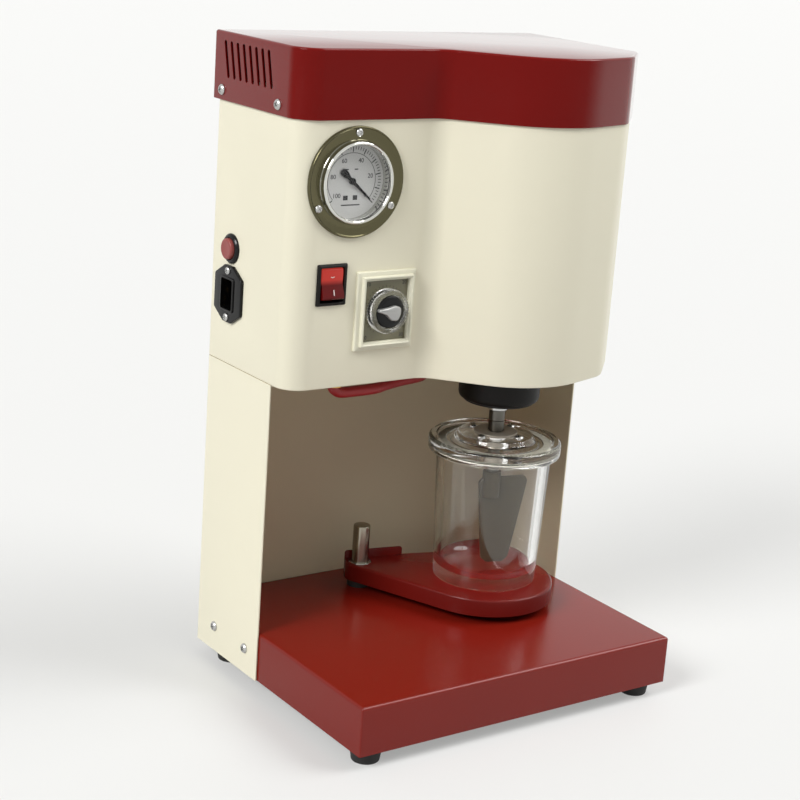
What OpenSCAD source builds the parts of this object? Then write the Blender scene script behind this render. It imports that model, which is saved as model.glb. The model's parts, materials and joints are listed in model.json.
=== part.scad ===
// Bench vacuum mixer: a housing on an open column over a base, with a jar, lid and paddle under the drive head.
// X runs to the right, Y to the back and Z up. The housing's flat front is at y = 0, the bench at z = 0.

/* [Stand] */
// Outer width of the column and the housing
body_w = 297; // [280:1:320]
// From the housing's flat front to its back
body_d = 118; // [112:1:135]
// Height of each foot
foot_h = 12; // [8:1:16]
// Height of the base box
base_h = 38.5; // [30:0.5:46]
// How far the base reaches in front of the flat front
base_reach = 122; // [110:1:140]
// From the flat front back to the column's front edges
column_setback = 23; // [15:1:32]
// Thickness of the base, column and housing sheet
sheet = 1.5; // [1.2:0.1:1.8]

/* [Housing] */
// Visible height of the housing below the cover
housing_h = 199; // [190:1:220]
// Height of the top cover
cover_h = 50.5; // [46:0.5:60]
// Thickness of the cover sheet
cover_sheet = 1.2; // [1:0.1:1.5]
// How far the cover's back stands behind the housing's back
cover_back = 6; // [2:0.5:8]
// Outer radius of the bulge round the drive
bulge_r = 70; // [66:0.5:74]
// Angle of the bulge's left flank
flank_slope = 48; // [44:1:52]
// Angle at which the bulge's round part ends on the right
shoulder_slope = 16; // [12:1:20]
// Angle of the flat facet beside the bulge
facet_slope = 45; // [40:1:50]
// Number of vent slots in the cover's left side
vent_count = 8; // [5:1:8]

/* [Drive head] */
// Distance of the spindle to the right of the middle
spindle_x = 58; // [54:1:62]
// Distance of the spindle behind the flat front
spindle_y = 10; // [6:1:14]
// Diameter of the black head under the housing
head_d = 65; // [60:1:70]
// Height of the black head
head_h = 27.5; // [25:0.5:30]
// Diameter of the spindle
spindle_d = 15; // [14.6:0.1:15.2]
// Width across the flats of the paddle's hexagon
hex_af = 8; // [7:0.5:8.5]

/* [Gears] */
// Module of all gears
gear_mod = 1.5; // [1.4:0.05:1.55]
// Teeth on the two wheels
wheel_teeth = 32; // [30:1:33]
// Teeth on the two pinions
pinion_teeth = 18; // [17:1:19]
// Play between two meshing teeth
backlash = 0.2; // [0.14:0.02:0.3]

/* [Jar] */
// Outer diameter at the jar's foot
jar_foot_d = 84; // [80:1:88]
// Outer diameter at the jar's mouth
jar_mouth_d = 93; // [90:1:95]
// Height of the jar
jar_h = 108.5; // [100:0.5:112]
// Thickness of the glass wall
jar_wall = 4.5; // [3.5:0.5:5.5]
// Diameter of the lid
lid_d = 107; // [105:1:112]
// Width of the paddle's blade at its top
blade_w = 44; // [38:1:46]
// How far the blade's middle stands off the shaft at its top
blade_off = 11; // [0:1:12]
// How far the jar lifts towards the head
jar_lift = 8; // [4:0.5:8]
// Free height between the lid's boss and the spindle's sleeve
lid_gap = 20; // [18:0.5:30]
// Thickness of the lid's plate
lid_t = 9; // [7:0.5:10]

/* [Tray] */
// Gap between the base and the tray's skirt
tray_gap = 6.5; // [4:0.5:8]
// Height of the tray
tray_h = 14; // [12:0.5:16]
// Radius of the tray round the jar
tray_r = 57; // [54:1:60]
// Distance from the post to the middle of the head, across
post_dx = 76.5; // [72:0.5:80]
// Distance from the middle of the head back to the post
post_dy = 69; // [64:0.5:72]
// Diameter of the steel post
post_d = 14; // [12:0.5:15]
// How far the post stands above the tray
post_up = 32; // [20:1:40]
// Angle of the tray's back edge
tray_turn = -12.5; // [-14:0.5:-6]

/* [Controls] */
// Distance of the gauge's centre from the left side
gauge_in = 49; // [46:0.5:52]
// Gap between the gauge's flange and the cover
gauge_gap = 4; // [2:0.5:8]
// Diameter of the gauge's front flange
gauge_d = 82; // [80:1:86]
// Distance of the rocker's centre from the left side
rocker_in = 33.5; // [31:0.5:35]
// Height of the rocker's centre above the housing's underside
rocker_up = 79; // [76:1:82]
// Distance of the timer's centre from the left side
timer_in = 81.5; // [79:0.5:84]
// Height of the timer's centre above the housing's underside
timer_up = 57; // [54:1:60]
// Distance of the inlet and the button behind the flat front
side_y = 88; // [84:1:92]
// Height of the inlet's centre above the housing's underside
inlet_up = 55; // [51:1:57]
// Height of the button's centre above the housing's underside
button_up = 90; // [88:1:94]
// How far the button travels
button_travel = 3; // [2:0.5:3]

/* [Hidden] */
$fn = 64;
eps = 0.01;
run_gap = 0.05;

half_w = body_w / 2;
base_top = foot_h + base_h;
tray_z0 = base_top + tray_gap;
tray_top = tray_z0 + tray_h;
jar_z0 = tray_top + 0.5;
jar_z1 = jar_z0 + jar_h;
gasket_t = 1.5;
lid_z0 = jar_z1 + gasket_t;
lid_top = lid_z0 + lid_t;
boss_up = 3.5;
boss_top = lid_top + boss_up;
sleeve_down = 9;
nose_z = boss_top + lid_gap;
socket_z = nose_z + sleeve_down;
housing_z = socket_z + head_h;
base_side_gap = 0.2;
base_half = half_w - sheet - base_side_gap;
base_bend = 3;
plate_t = 1.5;
floor_top = housing_z + sheet;
housing_top = housing_z + housing_h;
gauge_left = half_w - gauge_in;
gauge_up = housing_h - gauge_gap - gauge_d / 2;
rocker_left = half_w - rocker_in;
timer_left = half_w - timer_in;
cover_top = housing_top + cover_h;
cover_gap = 0.3;
cover_lap = 12;

cream = [0.91, 0.88, 0.76];
red = [0.50, 0.07, 0.07];
black = [0.06, 0.06, 0.06];
steel = [0.72, 0.73, 0.74];
brass = [0.78, 0.62, 0.30];
clear = [0.85, 0.90, 0.92, 0.35];

// Outline of the housing, walked from the left front corner towards the bulge
left_n = [-sin(flank_slope), -cos(flank_slope)];
right_n = [sin(shoulder_slope), -cos(shoulder_slope)];
spindle_c = [spindle_x, spindle_y];
shoulder_len = 36;
facet_x = spindle_x + bulge_r * sin(shoulder_slope) + shoulder_len;
bulge_left = spindle_c + bulge_r * left_n;
bulge_right = spindle_c + bulge_r * right_n;
valley = [bulge_left.x + bulge_left.y / tan(flank_slope), 0];
bulge_tip = spindle_c + bulge_r * (left_n + right_n) / (1 + left_n * right_n);
facet_left = [facet_x, bulge_right.y + (facet_x - bulge_right.x) * tan(shoulder_slope)];
facet_right = [half_w, facet_left.y + (half_w - facet_x) * tan(facet_slope)];
outline = [[-half_w, 0], valley, bulge_tip, facet_left, facet_right, [half_w, body_d], [-half_w, body_d]];
// A negative radius marks the hollow bend
bend_r = [18, -22, bulge_r, 30, 12, 3, 3];

function unit(v) = v / norm(v);
function turn_left(v) = [-v.y, v.x];
// Each corner of a closed outline moved out by g along both of its edges
function grown(p, g) = [for (i = [0:len(p) - 1])
    let (a = p[(i + len(p) - 1) % len(p)], b = p[i], c = p[(i + 1) % len(p)],
        n1 = -turn_left(unit(b - a)), n2 = -turn_left(unit(c - b)))
    b + g * (n1 + n2) / (1 + n1 * n2)];
// The outline with each corner replaced by an arc of its own radius, changed by g
function rounded(p, radii, g) = [for (i = [0:len(p) - 1])
    let (a = p[(i + len(p) - 1) % len(p)], b = p[i], c = p[(i + 1) % len(p)],
        u = unit(a - b), v = unit(c - b), half = acos(u * v) / 2,
        hollow = radii[i] < 0, r = max(abs(radii[i]) + (hollow ? -g : g), 0.3),
        centre = b + unit(u + v) * r / sin(half),
        start = b + u * r / tan(half) - centre, sweep = 180 - 2 * half,
        steps = ceil(sweep / 6) + 1)
    for (k = [0:steps]) let (t = (hollow ? -1 : 1) * sweep * k / steps)
        centre + [start.x * cos(t) - start.y * sin(t), start.x * sin(t) + start.y * cos(t)]];
function housing_line(g) = rounded(grown(outline, g), bend_r, g);

function catmull(a, b, c, d, t) = 0.5 * (2 * b + (c - a) * t + (2 * a - 5 * b + 4 * c - d) * t * t
    + (-a + 3 * b - 3 * c + d) * t * t * t);
function smooth_route(p, n) = [for (i = [0:len(p) - 2]) for (k = [0:n - 1])
    catmull(p[max(i - 1, 0)], p[i], p[i + 1], p[min(i + 2, len(p) - 1)], k / n), p[len(p) - 1]];

// A round hose swept along a route, solid, with flat ends
module hose(route, r, across, sides = 10) {
    n = len(route);
    rings = [for (i = [0:n - 1])
        let (t = unit(route[min(i + 1, n - 1)] - route[max(i - 1, 0)]), u = unit(cross(across, t)), v = cross(t, u))
        for (s = [0:sides - 1]) route[i] + r * (cos(360 * s / sides) * u + sin(360 * s / sides) * v)];
    sides_f = [for (i = [0:n - 2]) for (s = [0:sides - 1]) let (q = (s + 1) % sides, a = i * sides, b = a + sides)
        each [[a + s, b + s, b + q], [a + s, b + q, a + q]]];
    ends_f = [[for (s = [0:sides - 1]) s], [for (s = [sides - 1:-1:0]) (n - 1) * sides + s]];
    polyhedron(points = rings, faces = concat(sides_f, ends_f), convexity = 6);
}

// A ring or a tube standing on z
module ring(outer, inner, z0, z1) {
    translate([0, 0, z0]) difference() {
        cylinder(r = outer, h = z1 - z0);
        translate([0, 0, -1]) cylinder(r = inner, h = z1 - z0 + 2);
    }
}

module rod(r, z0, z1) {
    translate([0, 0, z0]) cylinder(r = r, h = z1 - z0);
}

module hex_rod(af, z0, z1) {
    translate([0, 0, z0]) cylinder(r = af / 2 / cos(30), h = z1 - z0, $fn = 6);
}

// A pan-head screw along -Z, its seat at z = 0, with a cross in its head
module pan_screw(d, length) {
    difference() {
        union() {
            rotate_extrude() polygon([[0, 0], [d, 0], [d, 0.25 * d], [0.75 * d, 0.55 * d], [0, 0.62 * d]]);
            rod(d / 2, -length, eps);
        }
        for (a = [0, 90]) rotate(a) translate([-0.55 * d, -0.1 * d, 0.35 * d]) cube([1.1 * d, 0.2 * d, d]);
    }
}

// Places its children on a side wall, their +Z pointing out of it
module on_side(side, x, y, z) {
    translate([side * x, y, z]) rotate([0, side * 90, 0]) children();
}

// Places its children on the flat front, their +Z pointing at the user and +Y up
module on_front(left, up, out = 0) {
    translate([-left, -out, housing_z + up]) rotate([90, 0, 0]) children();
}

module at_spindle() {
    translate([spindle_x, spindle_y, 0]) children();
}

// Base: a folded box with a plate below, four feet and their screws
foot_r = 12;
foot_in = 17;
foot_back = 12;
foot_x = base_half - foot_in;
foot_spots = [for (x = [-foot_x, foot_x]) for (y = [-base_reach + foot_in, body_d - sheet - foot_back - foot_r]) [x, y]];
side_screw_z = foot_h + 20.5;
side_screw_y = [side_y + 1, side_y - 47];
screw_d = 4;
base_back = body_d - sheet - base_side_gap;
post_x = spindle_x - post_dx;
post_y = spindle_y + post_dy;

module base_pan() {
    color(red) difference() {
        hull() for (x = [-1, 1]) for (y = [-base_reach + base_bend, base_back - base_bend]) {
            translate([x * (base_half - base_bend), y, base_top - base_bend]) sphere(r = base_bend, $fn = 32);
            translate([x * (base_half - base_bend), y, foot_h]) cylinder(r = base_bend, h = eps, $fn = 32);
        }
        translate([-base_half + sheet, -base_reach + sheet, foot_h - 1])
            cube([2 * (base_half - sheet), base_reach + base_back - 2 * sheet, base_h - sheet + 1]);
        translate([post_x, post_y, base_top - 5]) cylinder(d = post_d + 0.2, h = 10);
        for (s = [-1, 1]) for (y = side_screw_y) on_side(s, base_half, y, side_screw_z)
            translate([0, 0, -5]) cylinder(d = screw_d + 0.2, h = 10);
    }
}

module base_plate() {
    gap = 0.2;
    color(black) difference() {
        translate([-base_half + sheet + gap, -base_reach + sheet + gap, foot_h])
            cube([2 * (base_half - sheet - gap), base_reach + base_back - 2 * (sheet + gap), plate_t]);
        for (p = foot_spots) translate([p.x, p.y, foot_h - 1]) cylinder(d = 5.3, h = 5);
    }
}

module feet() {
    color(black) for (p = foot_spots) translate([p.x, p.y, 0]) difference() {
        cylinder(r1 = foot_r - 1.5, r2 = foot_r, h = foot_h);
        translate([0, 0, -1]) cylinder(r = 5.6, h = foot_h / 2 + 1);
        cylinder(d = 5.3, h = foot_h + 1);
    }
}

module foot_screws() {
    color(steel) for (p = foot_spots) translate([p.x, p.y, foot_h / 2]) mirror([0, 0, 1])
        pan_screw(5, foot_h / 2 + plate_t + 5);
}

// Column: two sides and a back in one folded sheet, with lips under the housing floor
lip = 16;

module column_shell() {
    color(cream) difference() {
        union() {
            for (s = [-1, 1]) translate([s * half_w - (s > 0 ? sheet : 0), column_setback, foot_h])
                cube([sheet, body_d - column_setback, housing_z - foot_h]);
            translate([-half_w, body_d - sheet, foot_h]) cube([body_w, sheet, housing_z - foot_h]);
            for (s = [-1, 1]) translate([s * half_w - (s > 0 ? lip : 0), column_setback, housing_z - sheet])
                cube([lip, body_d - column_setback, sheet]);
            translate([-half_w, body_d - lip, housing_z - sheet]) cube([body_w, lip, sheet]);
        }
        for (s = [-1, 1]) for (y = side_screw_y) on_side(s, half_w, y, side_screw_z)
            translate([0, 0, -5]) cylinder(d = screw_d + 0.2, h = 10);
    }
}

module column_screws() {
    color(steel) for (s = [-1, 1]) for (y = side_screw_y) on_side(s, half_w, y, side_screw_z)
        pan_screw(screw_d, 7);
}

// Housing: the folded wall with its cut-outs, and the floor that carries the drive
gauge_case_r = 31;
rocker_w = 21.8;
rocker_hgt = 28.2;
timer_case = 44;
button_r = 8;
inlet_w = 20;
inlet_hgt = 27;
shell_top = housing_top + cover_lap;
hose_y = 12;
hose_r = 4.2;
hose_in_x = -half_w + 48.5;
hose_out = [3, 34];

module housing_shell() {
    color(cream) difference() {
        translate([0, 0, housing_z]) linear_extrude(shell_top - housing_z) polygon(housing_line(0));
        translate([0, 0, housing_z - 1]) linear_extrude(shell_top - housing_z + 2) polygon(housing_line(-sheet));
        on_front(gauge_left, gauge_up) translate([0, 0, -5]) cylinder(r = gauge_case_r + 0.3, h = 10);
        for (a = gauge_screw_angles) on_front(gauge_left, gauge_up)
            rotate(a) translate([gauge_pcd / 2, 0, -5]) cylinder(d = 3.2, h = 10);
        on_front(rocker_left, rocker_up) translate([-rocker_w / 2 - 0.2, -rocker_hgt / 2 - 0.2, -5])
            cube([rocker_w + 0.4, rocker_hgt + 0.4, 10]);
        on_front(timer_left, timer_up) translate([-timer_case / 2 - 0.3, -timer_case / 2 - 0.3, -5])
            cube([timer_case + 0.6, timer_case + 0.6, 10]);
        on_side(-1, half_w, side_y, housing_z + button_up) translate([0, 0, -5]) cylinder(r = button_r + 1.7, h = 10);
        translate([-half_w - 5, side_y - inlet_w / 2 - 0.3, housing_z + inlet_up - inlet_hgt / 2 - 0.3])
            cube([10, inlet_w + 0.6, inlet_hgt + 0.6]);
        for (z = [-1, 1]) on_side(-1, half_w, side_y, housing_z + inlet_up + z * inlet_ear)
            translate([0, 0, -5]) cylinder(d = 3.2, h = 10);
        for (s = [-1, 1]) for (y = cover_screw_y) on_side(s, half_w, y, cover_screw_z)
            translate([0, 0, -5]) cylinder(d = screw_d + 0.2, h = 10);
    }
}

module housing_floor() {
    gap = 0.2;
    color(cream) difference() {
        translate([0, 0, housing_z]) linear_extrude(sheet) polygon(housing_line(-sheet - gap));
        at_spindle() rod(bearing_r + 1, housing_z - 1, floor_top + 1);
        translate([hose_in_x, hose_y, housing_z - 1]) cylinder(r = fitting_r + 0.1, h = 5);
        translate([hose_out.x, hose_out.y, housing_z - 1]) cylinder(r = fitting_r + 0.1, h = 5);
    }
}

// Cover: the same outline a little larger, with slanted vents on the left
vent_pitch = 8.9;
vent_w = 3.6;
vent_h = 28;
vent_lean = 14;
vent_front = 42.5;
cover_screw_y = [body_d - 8, 29];
cover_screw_z = housing_top + 7.5;
cover_out = cover_gap + cover_sheet;

module cover_block(g, z0, z1) {
    translate([0, 0, z0]) linear_extrude(z1 - z0) polygon(housing_line(g));
    translate([-half_w - g, body_d / 2, z0]) cube([body_w + 2 * g, body_d / 2 + cover_back - cover_out + g, z1 - z0]);
}

module top_cover() {
    color(red) difference() {
        cover_block(cover_out, housing_top, cover_top);
        cover_block(cover_gap, housing_top - 1, cover_top - cover_sheet);
        for (i = [0:vent_count - 1]) translate([-half_w - 5, vent_front + i * vent_pitch, housing_top + 30.5])
            rotate([-vent_lean, 0, 0]) translate([0, -vent_w / 2, -vent_h / 2]) cube([10, vent_w, vent_h]);
        for (s = [-1, 1]) for (y = cover_screw_y) on_side(s, half_w, y, cover_screw_z)
            translate([0, 0, -5]) cylinder(d = screw_d + 0.2, h = 10);
    }
}

module cover_screws() {
    color(steel) for (s = [-1, 1]) for (y = cover_screw_y) on_side(s, half_w + cover_out, y, cover_screw_z)
        pan_screw(screw_d, 7);
}

// Gauge, drawn with +Z out of the panel
gauge_glass_r = 27;
gauge_pcd = gauge_d - 9.7;
gauge_screw_angles = [90, 210, 330];
gauge_depth = 30;
needle_rest = -41;
gauge_bezel_h = 6.5;
gauge_dial_in = 5;
gauge_dial_t = 1;
gauge_dish_r = gauge_case_r + 1.4;
gauge_rim_r = gauge_d / 2 - 1.8;

module gauge_case() {
    color(steel) on_front(gauge_left, gauge_up) difference() {
        union() {
            rod(gauge_case_r, -gauge_depth, 0);
            rod(6, -gauge_depth - 12, -gauge_depth + eps);
        }
        rod(gauge_case_r - 1.2, -gauge_depth + 1.5, 1);
        rod(2, -gauge_depth - 13, -gauge_depth + 2);
    }
}

module gauge_flange() {
    color(steel) on_front(gauge_left, gauge_up) difference() {
        rotate_extrude() polygon([[gauge_glass_r + 0.1, 2.5], [gauge_case_r - 1.2, 0], [gauge_d / 2 - 1, 0], [gauge_d / 2, 1],
            [gauge_d / 2 - 0.3, 3], [gauge_rim_r + 0.4, 3], [gauge_rim_r, 1.8], [gauge_dish_r, 1.8],
            [gauge_case_r + 0.8, gauge_bezel_h - 1], [gauge_case_r - 0.5, gauge_bezel_h],
            [gauge_glass_r + 1, gauge_bezel_h - 0.5], [gauge_glass_r + 0.1, gauge_bezel_h - 2]]);
        for (a = gauge_screw_angles) rotate(a) translate([gauge_pcd / 2, 0, -1]) cylinder(d = 3.4, h = 10);
    }
}

module gauge_glass() {
    color(clear) on_front(gauge_left, gauge_up) rod(gauge_glass_r + 0.1, 3, 4.5);
}

module gauge_dial() {
    color("white") on_front(gauge_left, gauge_up) 
        ring(gauge_case_r - 1.2, 1.5, -gauge_dial_in - gauge_dial_t, -gauge_dial_in);
}

module gauge_tube() {
    color(brass) on_front(gauge_left, gauge_up) {
        rotate([0, 0, -60]) rotate_extrude(angle = 260) translate([20, -14]) scale([1, 1]) circle(r = 3);
        translate([0, 0, -gauge_depth + 1.5]) cylinder(r = 5, h = 16.5);
        rotate(-60) translate([3, -2.5, -16]) cube([17, 5, 4]);
    }
}

module gauge_screws() {
    color(steel) on_front(gauge_left, gauge_up) for (a = gauge_screw_angles)
        rotate(a) translate([gauge_pcd / 2, 0, 1.8]) pan_screw(3, 8);
}

module gauge_needle() {
    color(black) on_front(gauge_left, gauge_up, -gauge_dial_in) {
        rod(2.8, 0.6, 2.4);
        rod(1.4, -6.5, 0.7);
        rotate(needle_rest) translate([0, 0, 0.9]) linear_extrude(0.6)
            polygon([[-9, -1.3], [-9, 1.3], [-1, 1.0], [22, 0.25], [22, -0.25], [-1, -1.0]]);
    }
}

// Rocker switch, drawn with +Z out of the panel and +Y up
rocker_bezel_w = 25.5;
rocker_bezel_h = 31;
rocker_depth = 24;
rocker_tilt = 10;
rocker_pivot = -4;
key_w = 18.4;
key_h = 23;

module rocker_frame() {
    slot_w = key_w + 0.6;
    slot_h = key_h + 3;
    color(black) on_front(rocker_left, rocker_up) {
        difference() {
            union() {
                hull() {
                    translate([-rocker_bezel_w / 2, -rocker_bezel_h / 2, 0]) cube([rocker_bezel_w, rocker_bezel_h, 1.2]);
                    translate([-rocker_bezel_w / 2 + 1, -rocker_bezel_h / 2 + 1, 0])
                        cube([rocker_bezel_w - 2, rocker_bezel_h - 2, 2.2]);
                }
                translate([-rocker_w / 2, -rocker_hgt / 2, -rocker_depth]) cube([rocker_w, rocker_hgt, rocker_depth]);
            }
            translate([-slot_w / 2, -slot_h / 2, -15]) cube([slot_w, slot_h, 20]);
        }
        for (s = [-1, 1]) translate([s * (slot_w / 2 - 1), 0, rocker_pivot]) rotate([0, 90, 0])
            cylinder(r = 1.2, h = 2.4, center = true);
    }
}

module rocker_key() {
    color([0.75, 0.05, 0.05]) on_front(rocker_left, rocker_up) translate([0, 0, rocker_pivot])
        rotate([-rocker_tilt, 0, 0]) difference() {
            rotate([90, 0, 90]) translate([0, 0, -key_w / 2]) linear_extrude(key_w)
                polygon([[-key_h / 2, 7.4], [0, 5.6], [key_h / 2, 7.4], [key_h / 2, 2], [6, -5], [-6, -5], [-key_h / 2, 2]]);
            rotate([0, 90, 0]) cylinder(r = 1.3, h = key_w + 2, center = true);
        }
}

// Timer, drawn with +Z out of the panel and +Y up
timer_w = 53;
timer_hgt = 59;
timer_depth = 55;
timer_inset_w = 38.5;
timer_inset_h = 46.5;
ring_r = 17;
knob_r = 13.8;
knurls = 28;

module timer_frame() {
    color([0.88, 0.86, 0.76]) on_front(timer_left, timer_up) difference() {
        union() {
            hull() {
                translate([-timer_w / 2, -timer_hgt / 2, 0]) cube([timer_w, timer_hgt, 2]);
                translate([-timer_w / 2 + 1, -timer_hgt / 2 + 1, 0]) cube([timer_w - 2, timer_hgt - 2, 3]);
            }
            hull() {
                translate([-timer_inset_w / 2 - 3, -timer_inset_h / 2 - 3, 2.5])
                    cube([timer_inset_w + 6, timer_inset_h + 6, 2.5]);
                translate([-timer_inset_w / 2 - 2, -timer_inset_h / 2 - 2, 2.5])
                    cube([timer_inset_w + 4, timer_inset_h + 4, 3.5]);
            }
            translate([-timer_case / 2, -timer_case / 2, -timer_depth]) cube([timer_case, timer_case, timer_depth + eps]);
        }
        translate([-timer_inset_w / 2, -timer_inset_h / 2, 1]) cube([timer_inset_w, timer_inset_h, 10]);
        translate([0, 0, -12]) cylinder(r = 3 + run_gap, h = 20);
    }
}

module timer_dial() {
    gap = 0.2;
    color([0.93, 0.92, 0.85]) on_front(timer_left, timer_up) difference() {
        translate([-timer_inset_w / 2 + gap, -timer_inset_h / 2 + gap, 1])
            cube([timer_inset_w - 2 * gap, timer_inset_h - 2 * gap, 0.8]);
        cylinder(r = 3.4, h = 10);
    }
}

module timer_ring() {
    color(clear) on_front(timer_left, timer_up) difference() {
        union() {
            rod(ring_r - 0.8, 2.2, 10);
            for (i = [0:knurls - 1]) rotate(i * 360 / knurls) translate([ring_r - 1, -0.8, 2.2]) cube([1, 1.6, 7.4]);
        }
        rod(knob_r, 3.6, 11);
        rod(3, 0, 4);
    }
}

module timer_knob() {
    color(black) on_front(timer_left, timer_up) {
        rod(knob_r, 3.6, 9);
        rod(3, -11, 3.7);
        hull() {
            translate([-knob_r + 2, -2.6, 8.5]) cube([2 * knob_r - 4, 5.2, 1]);
            translate([-knob_r + 4, -1.8, 8.5]) cube([2 * knob_r - 8, 3.6, 5]);
        }
    }
}

// Push button, drawn with +Z out of the left side
button_out = 5.5;

module on_left(up) {
    on_side(-1, half_w, side_y, housing_z + up) children();
}

module button_bezel() {
    color(black) on_left(button_up) difference() {
        union() {
            rotate_extrude() polygon([[0, 0], [11.5, 0], [11.5, 1.2], [10, 2.8], [0, 2.8]]);
            rod(button_r + 1.5, -24, eps);
            rod(11, -sheet - 4.5, -sheet);
        }
        rod(button_r + run_gap, -15, 5);
        rod(2.5 + run_gap, -30, 5);
    }
}

module button_cap() {
    color([0.6, 0.08, 0.08]) on_left(button_up) {
        rotate_extrude() polygon([[0, -6], [button_r, -6], [button_r, button_out - 1.4], [button_r - 1.2, button_out],
            [0, button_out]]);
        rod(2.5, -22, -5);
    }
}

module button_spring() {
    turns = 4;
    steps = 14;
    wire_r = 0.5;
    low = -15 + wire_r;
    length = 9 - button_travel - 2 * wire_r - 0.2;
    coil = [for (i = [0:turns * steps]) let (a = 360 * i / steps)
        [4.6 * cos(a), 4.6 * sin(a), low + length * i / (turns * steps)]];
    color(steel) on_left(button_up) hose(coil, wire_r, [0, 0, 1], 8);
}

// Mains inlet in the left side, its ears above and below
inlet_ear = 18;
inlet_flange_w = 40;
inlet_flange_h = 44;
inlet_cut = [14, 8.5];
inlet_depth = 22;
inlet_out = 2.5;
well_w = 16.5;
well_h = 23.5;

module inlet_socket() {
    w = inlet_flange_w / 2;
    h = inlet_flange_h / 2;
    color(black) translate([-half_w, side_y, housing_z + inlet_up]) difference() {
        union() {
            rotate([90, 0, -90]) linear_extrude(inlet_out)
                polygon([[-w, -h + inlet_cut.y], [-w + inlet_cut.x, -h], [w - inlet_cut.x, -h], [w, -h + inlet_cut.y],
                    [w, h - inlet_cut.y], [w - inlet_cut.x, h], [-w + inlet_cut.x, h], [-w, h - inlet_cut.y]]);
            translate([-eps, -inlet_w / 2, -inlet_hgt / 2]) cube([inlet_depth, inlet_w, inlet_hgt]);
        }
        translate([-inlet_out - 1, -well_w / 2, -well_h / 2]) cube([inlet_out + 17, well_w, well_h]);
        for (z = [-1, 1]) translate([-inlet_out - 1, 0, z * inlet_ear]) rotate([0, 90, 0]) cylinder(d = 3.4, h = 10);
        for (p = pin_spots) translate([10, p.x - 1.05, p.y - 2.05]) cube([20, 2.1, 4.1]);
    }
}

pin_spots = [[0, -7], [0, 7], [-4, 0]];

module inlet_pins() {
    color(brass) translate([-half_w, side_y, housing_z + inlet_up])
        for (p = pin_spots) translate([4.5, p.x - 1, p.y - 2]) cube([26, 2, 4]);
}

module inlet_screws() {
    color(steel) for (z = [-1, 1]) on_side(-1, half_w + inlet_out, side_y, housing_z + inlet_up + z * inlet_ear)
        pan_screw(3, 8);
}

// Gearbox: two equal pairs, so that the motor stands in line with the spindle
centre_dist = gear_mod * (wheel_teeth + pinion_teeth) / 2;
gear_h = 10;
case_wall = 4;
case_floor = 5;
case_z0 = floor_top;
low_gear_z = case_z0 + 11;
high_gear_z = low_gear_z + gear_h + 4;
case_z1 = high_gear_z + gear_h + 3;
case_lid_t = 5;
case_top = case_z1 + case_lid_t;
wheel_tip = gear_mod * (wheel_teeth / 2 + 1);
case_in = wheel_tip + 3;
bearing_r = 16;
bearing_h = 9;
lay_journal = 6;
pinion_tip = gear_mod * (pinion_teeth / 2 + 1);

function inv(a) = tan(a) * 180 / PI - a;

module gear_shape(teeth) {
    rp = gear_mod * teeth / 2;
    tip = rp + gear_mod;
    root = rp - 1.25 * gear_mod;
    base_r = rp * cos(20);
    foot = max(base_r, root) + 0.02;
    steps = 3;
    function half_angle(r) = 90 / teeth - backlash / (2 * rp) * 90 / PI + inv(20) - inv(acos(base_r / r));
    function at(r, a) = [r * cos(a), r * sin(a)];
    polygon([for (i = [0:teeth - 1]) let (a = i * 360 / teeth) each concat(
        [at(root, a - half_angle(foot))],
        [for (k = [0:steps]) let (r = foot + (tip - foot) * k / steps) at(r, a - half_angle(r))],
        [for (k = [steps:-1:0]) let (r = foot + (tip - foot) * k / steps) at(r, a + half_angle(r))],
        [at(root, a + half_angle(foot))])]);
}

module gear(teeth, z0) {
    translate([0, 0, z0]) linear_extrude(gear_h) gear_shape(teeth);
}

module case_line(r) {
    hull() {
        circle(r = r);
        translate([0, centre_dist]) circle(r = r);
    }
}

module gearbox_case() {
    color([0.6, 0.6, 0.62]) at_spindle() difference() {
        union() {
            translate([0, 0, case_z0]) linear_extrude(case_z1 - case_z0) case_line(case_in + case_wall);
        }
        difference() {
            translate([0, 0, case_z0 + case_floor]) linear_extrude(case_z1 - case_z0) case_line(case_in);
            rod(bearing_r + 4, case_z0, case_z0 + bearing_h);
            translate([0, centre_dist, 0]) rod(lay_journal + 4, case_z0, low_gear_z - 0.5);
        }
        rod(bearing_r, case_z0 - 1, case_z0 + bearing_h + 1);
        translate([0, centre_dist, 0]) rod(lay_journal + run_gap, case_z0 + 2, case_top);
    }
}

module gearbox_lid() {
    color([0.6, 0.6, 0.62]) at_spindle() difference() {
        translate([0, 0, case_z1]) linear_extrude(case_lid_t) case_line(case_in + case_wall);
        rod(pinion_tip + 1, case_z1 - 1, case_top + 1);
        translate([0, centre_dist, 0]) rod(lay_journal + run_gap, case_z1 - 1, case_top - 1);
    }
}

// Spindle with its wheel, and the layshaft with a pinion below and a wheel above

module spindle() {
    color([0.35, 0.35, 0.36]) at_spindle() difference() {
        union() {
            rod(spindle_d / 2, nose_z + 8, low_gear_z + gear_h + 1);
            rod(8, nose_z, nose_z + 8.5);
        }
        rod(shoulder_r + 0.3, nose_z - 1, socket_z);
        hex_rod(hex_af + 0.25, socket_z - 1, socket_z + 24);
    }
}

module spindle_gear() {
    color(steel) at_spindle() difference() {
        rotate(90) gear(wheel_teeth, low_gear_z);
        rod(spindle_d / 2, low_gear_z - 1, low_gear_z + gear_h + 1);
    }
}

module lay_gear() {
    color(steel) translate([spindle_x, spindle_y + centre_dist, 0]) {
        rotate(270 + 180 / pinion_teeth) gear(pinion_teeth, low_gear_z);
        rotate(270) gear(wheel_teeth, high_gear_z);
        rod(lay_journal, case_z0 + 2.5, low_gear_z + eps);
        rod(lay_journal + 3, low_gear_z + gear_h - eps, high_gear_z + eps);
        rod(lay_journal, high_gear_z + gear_h - eps, case_top - 1.5);
    }
}

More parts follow.
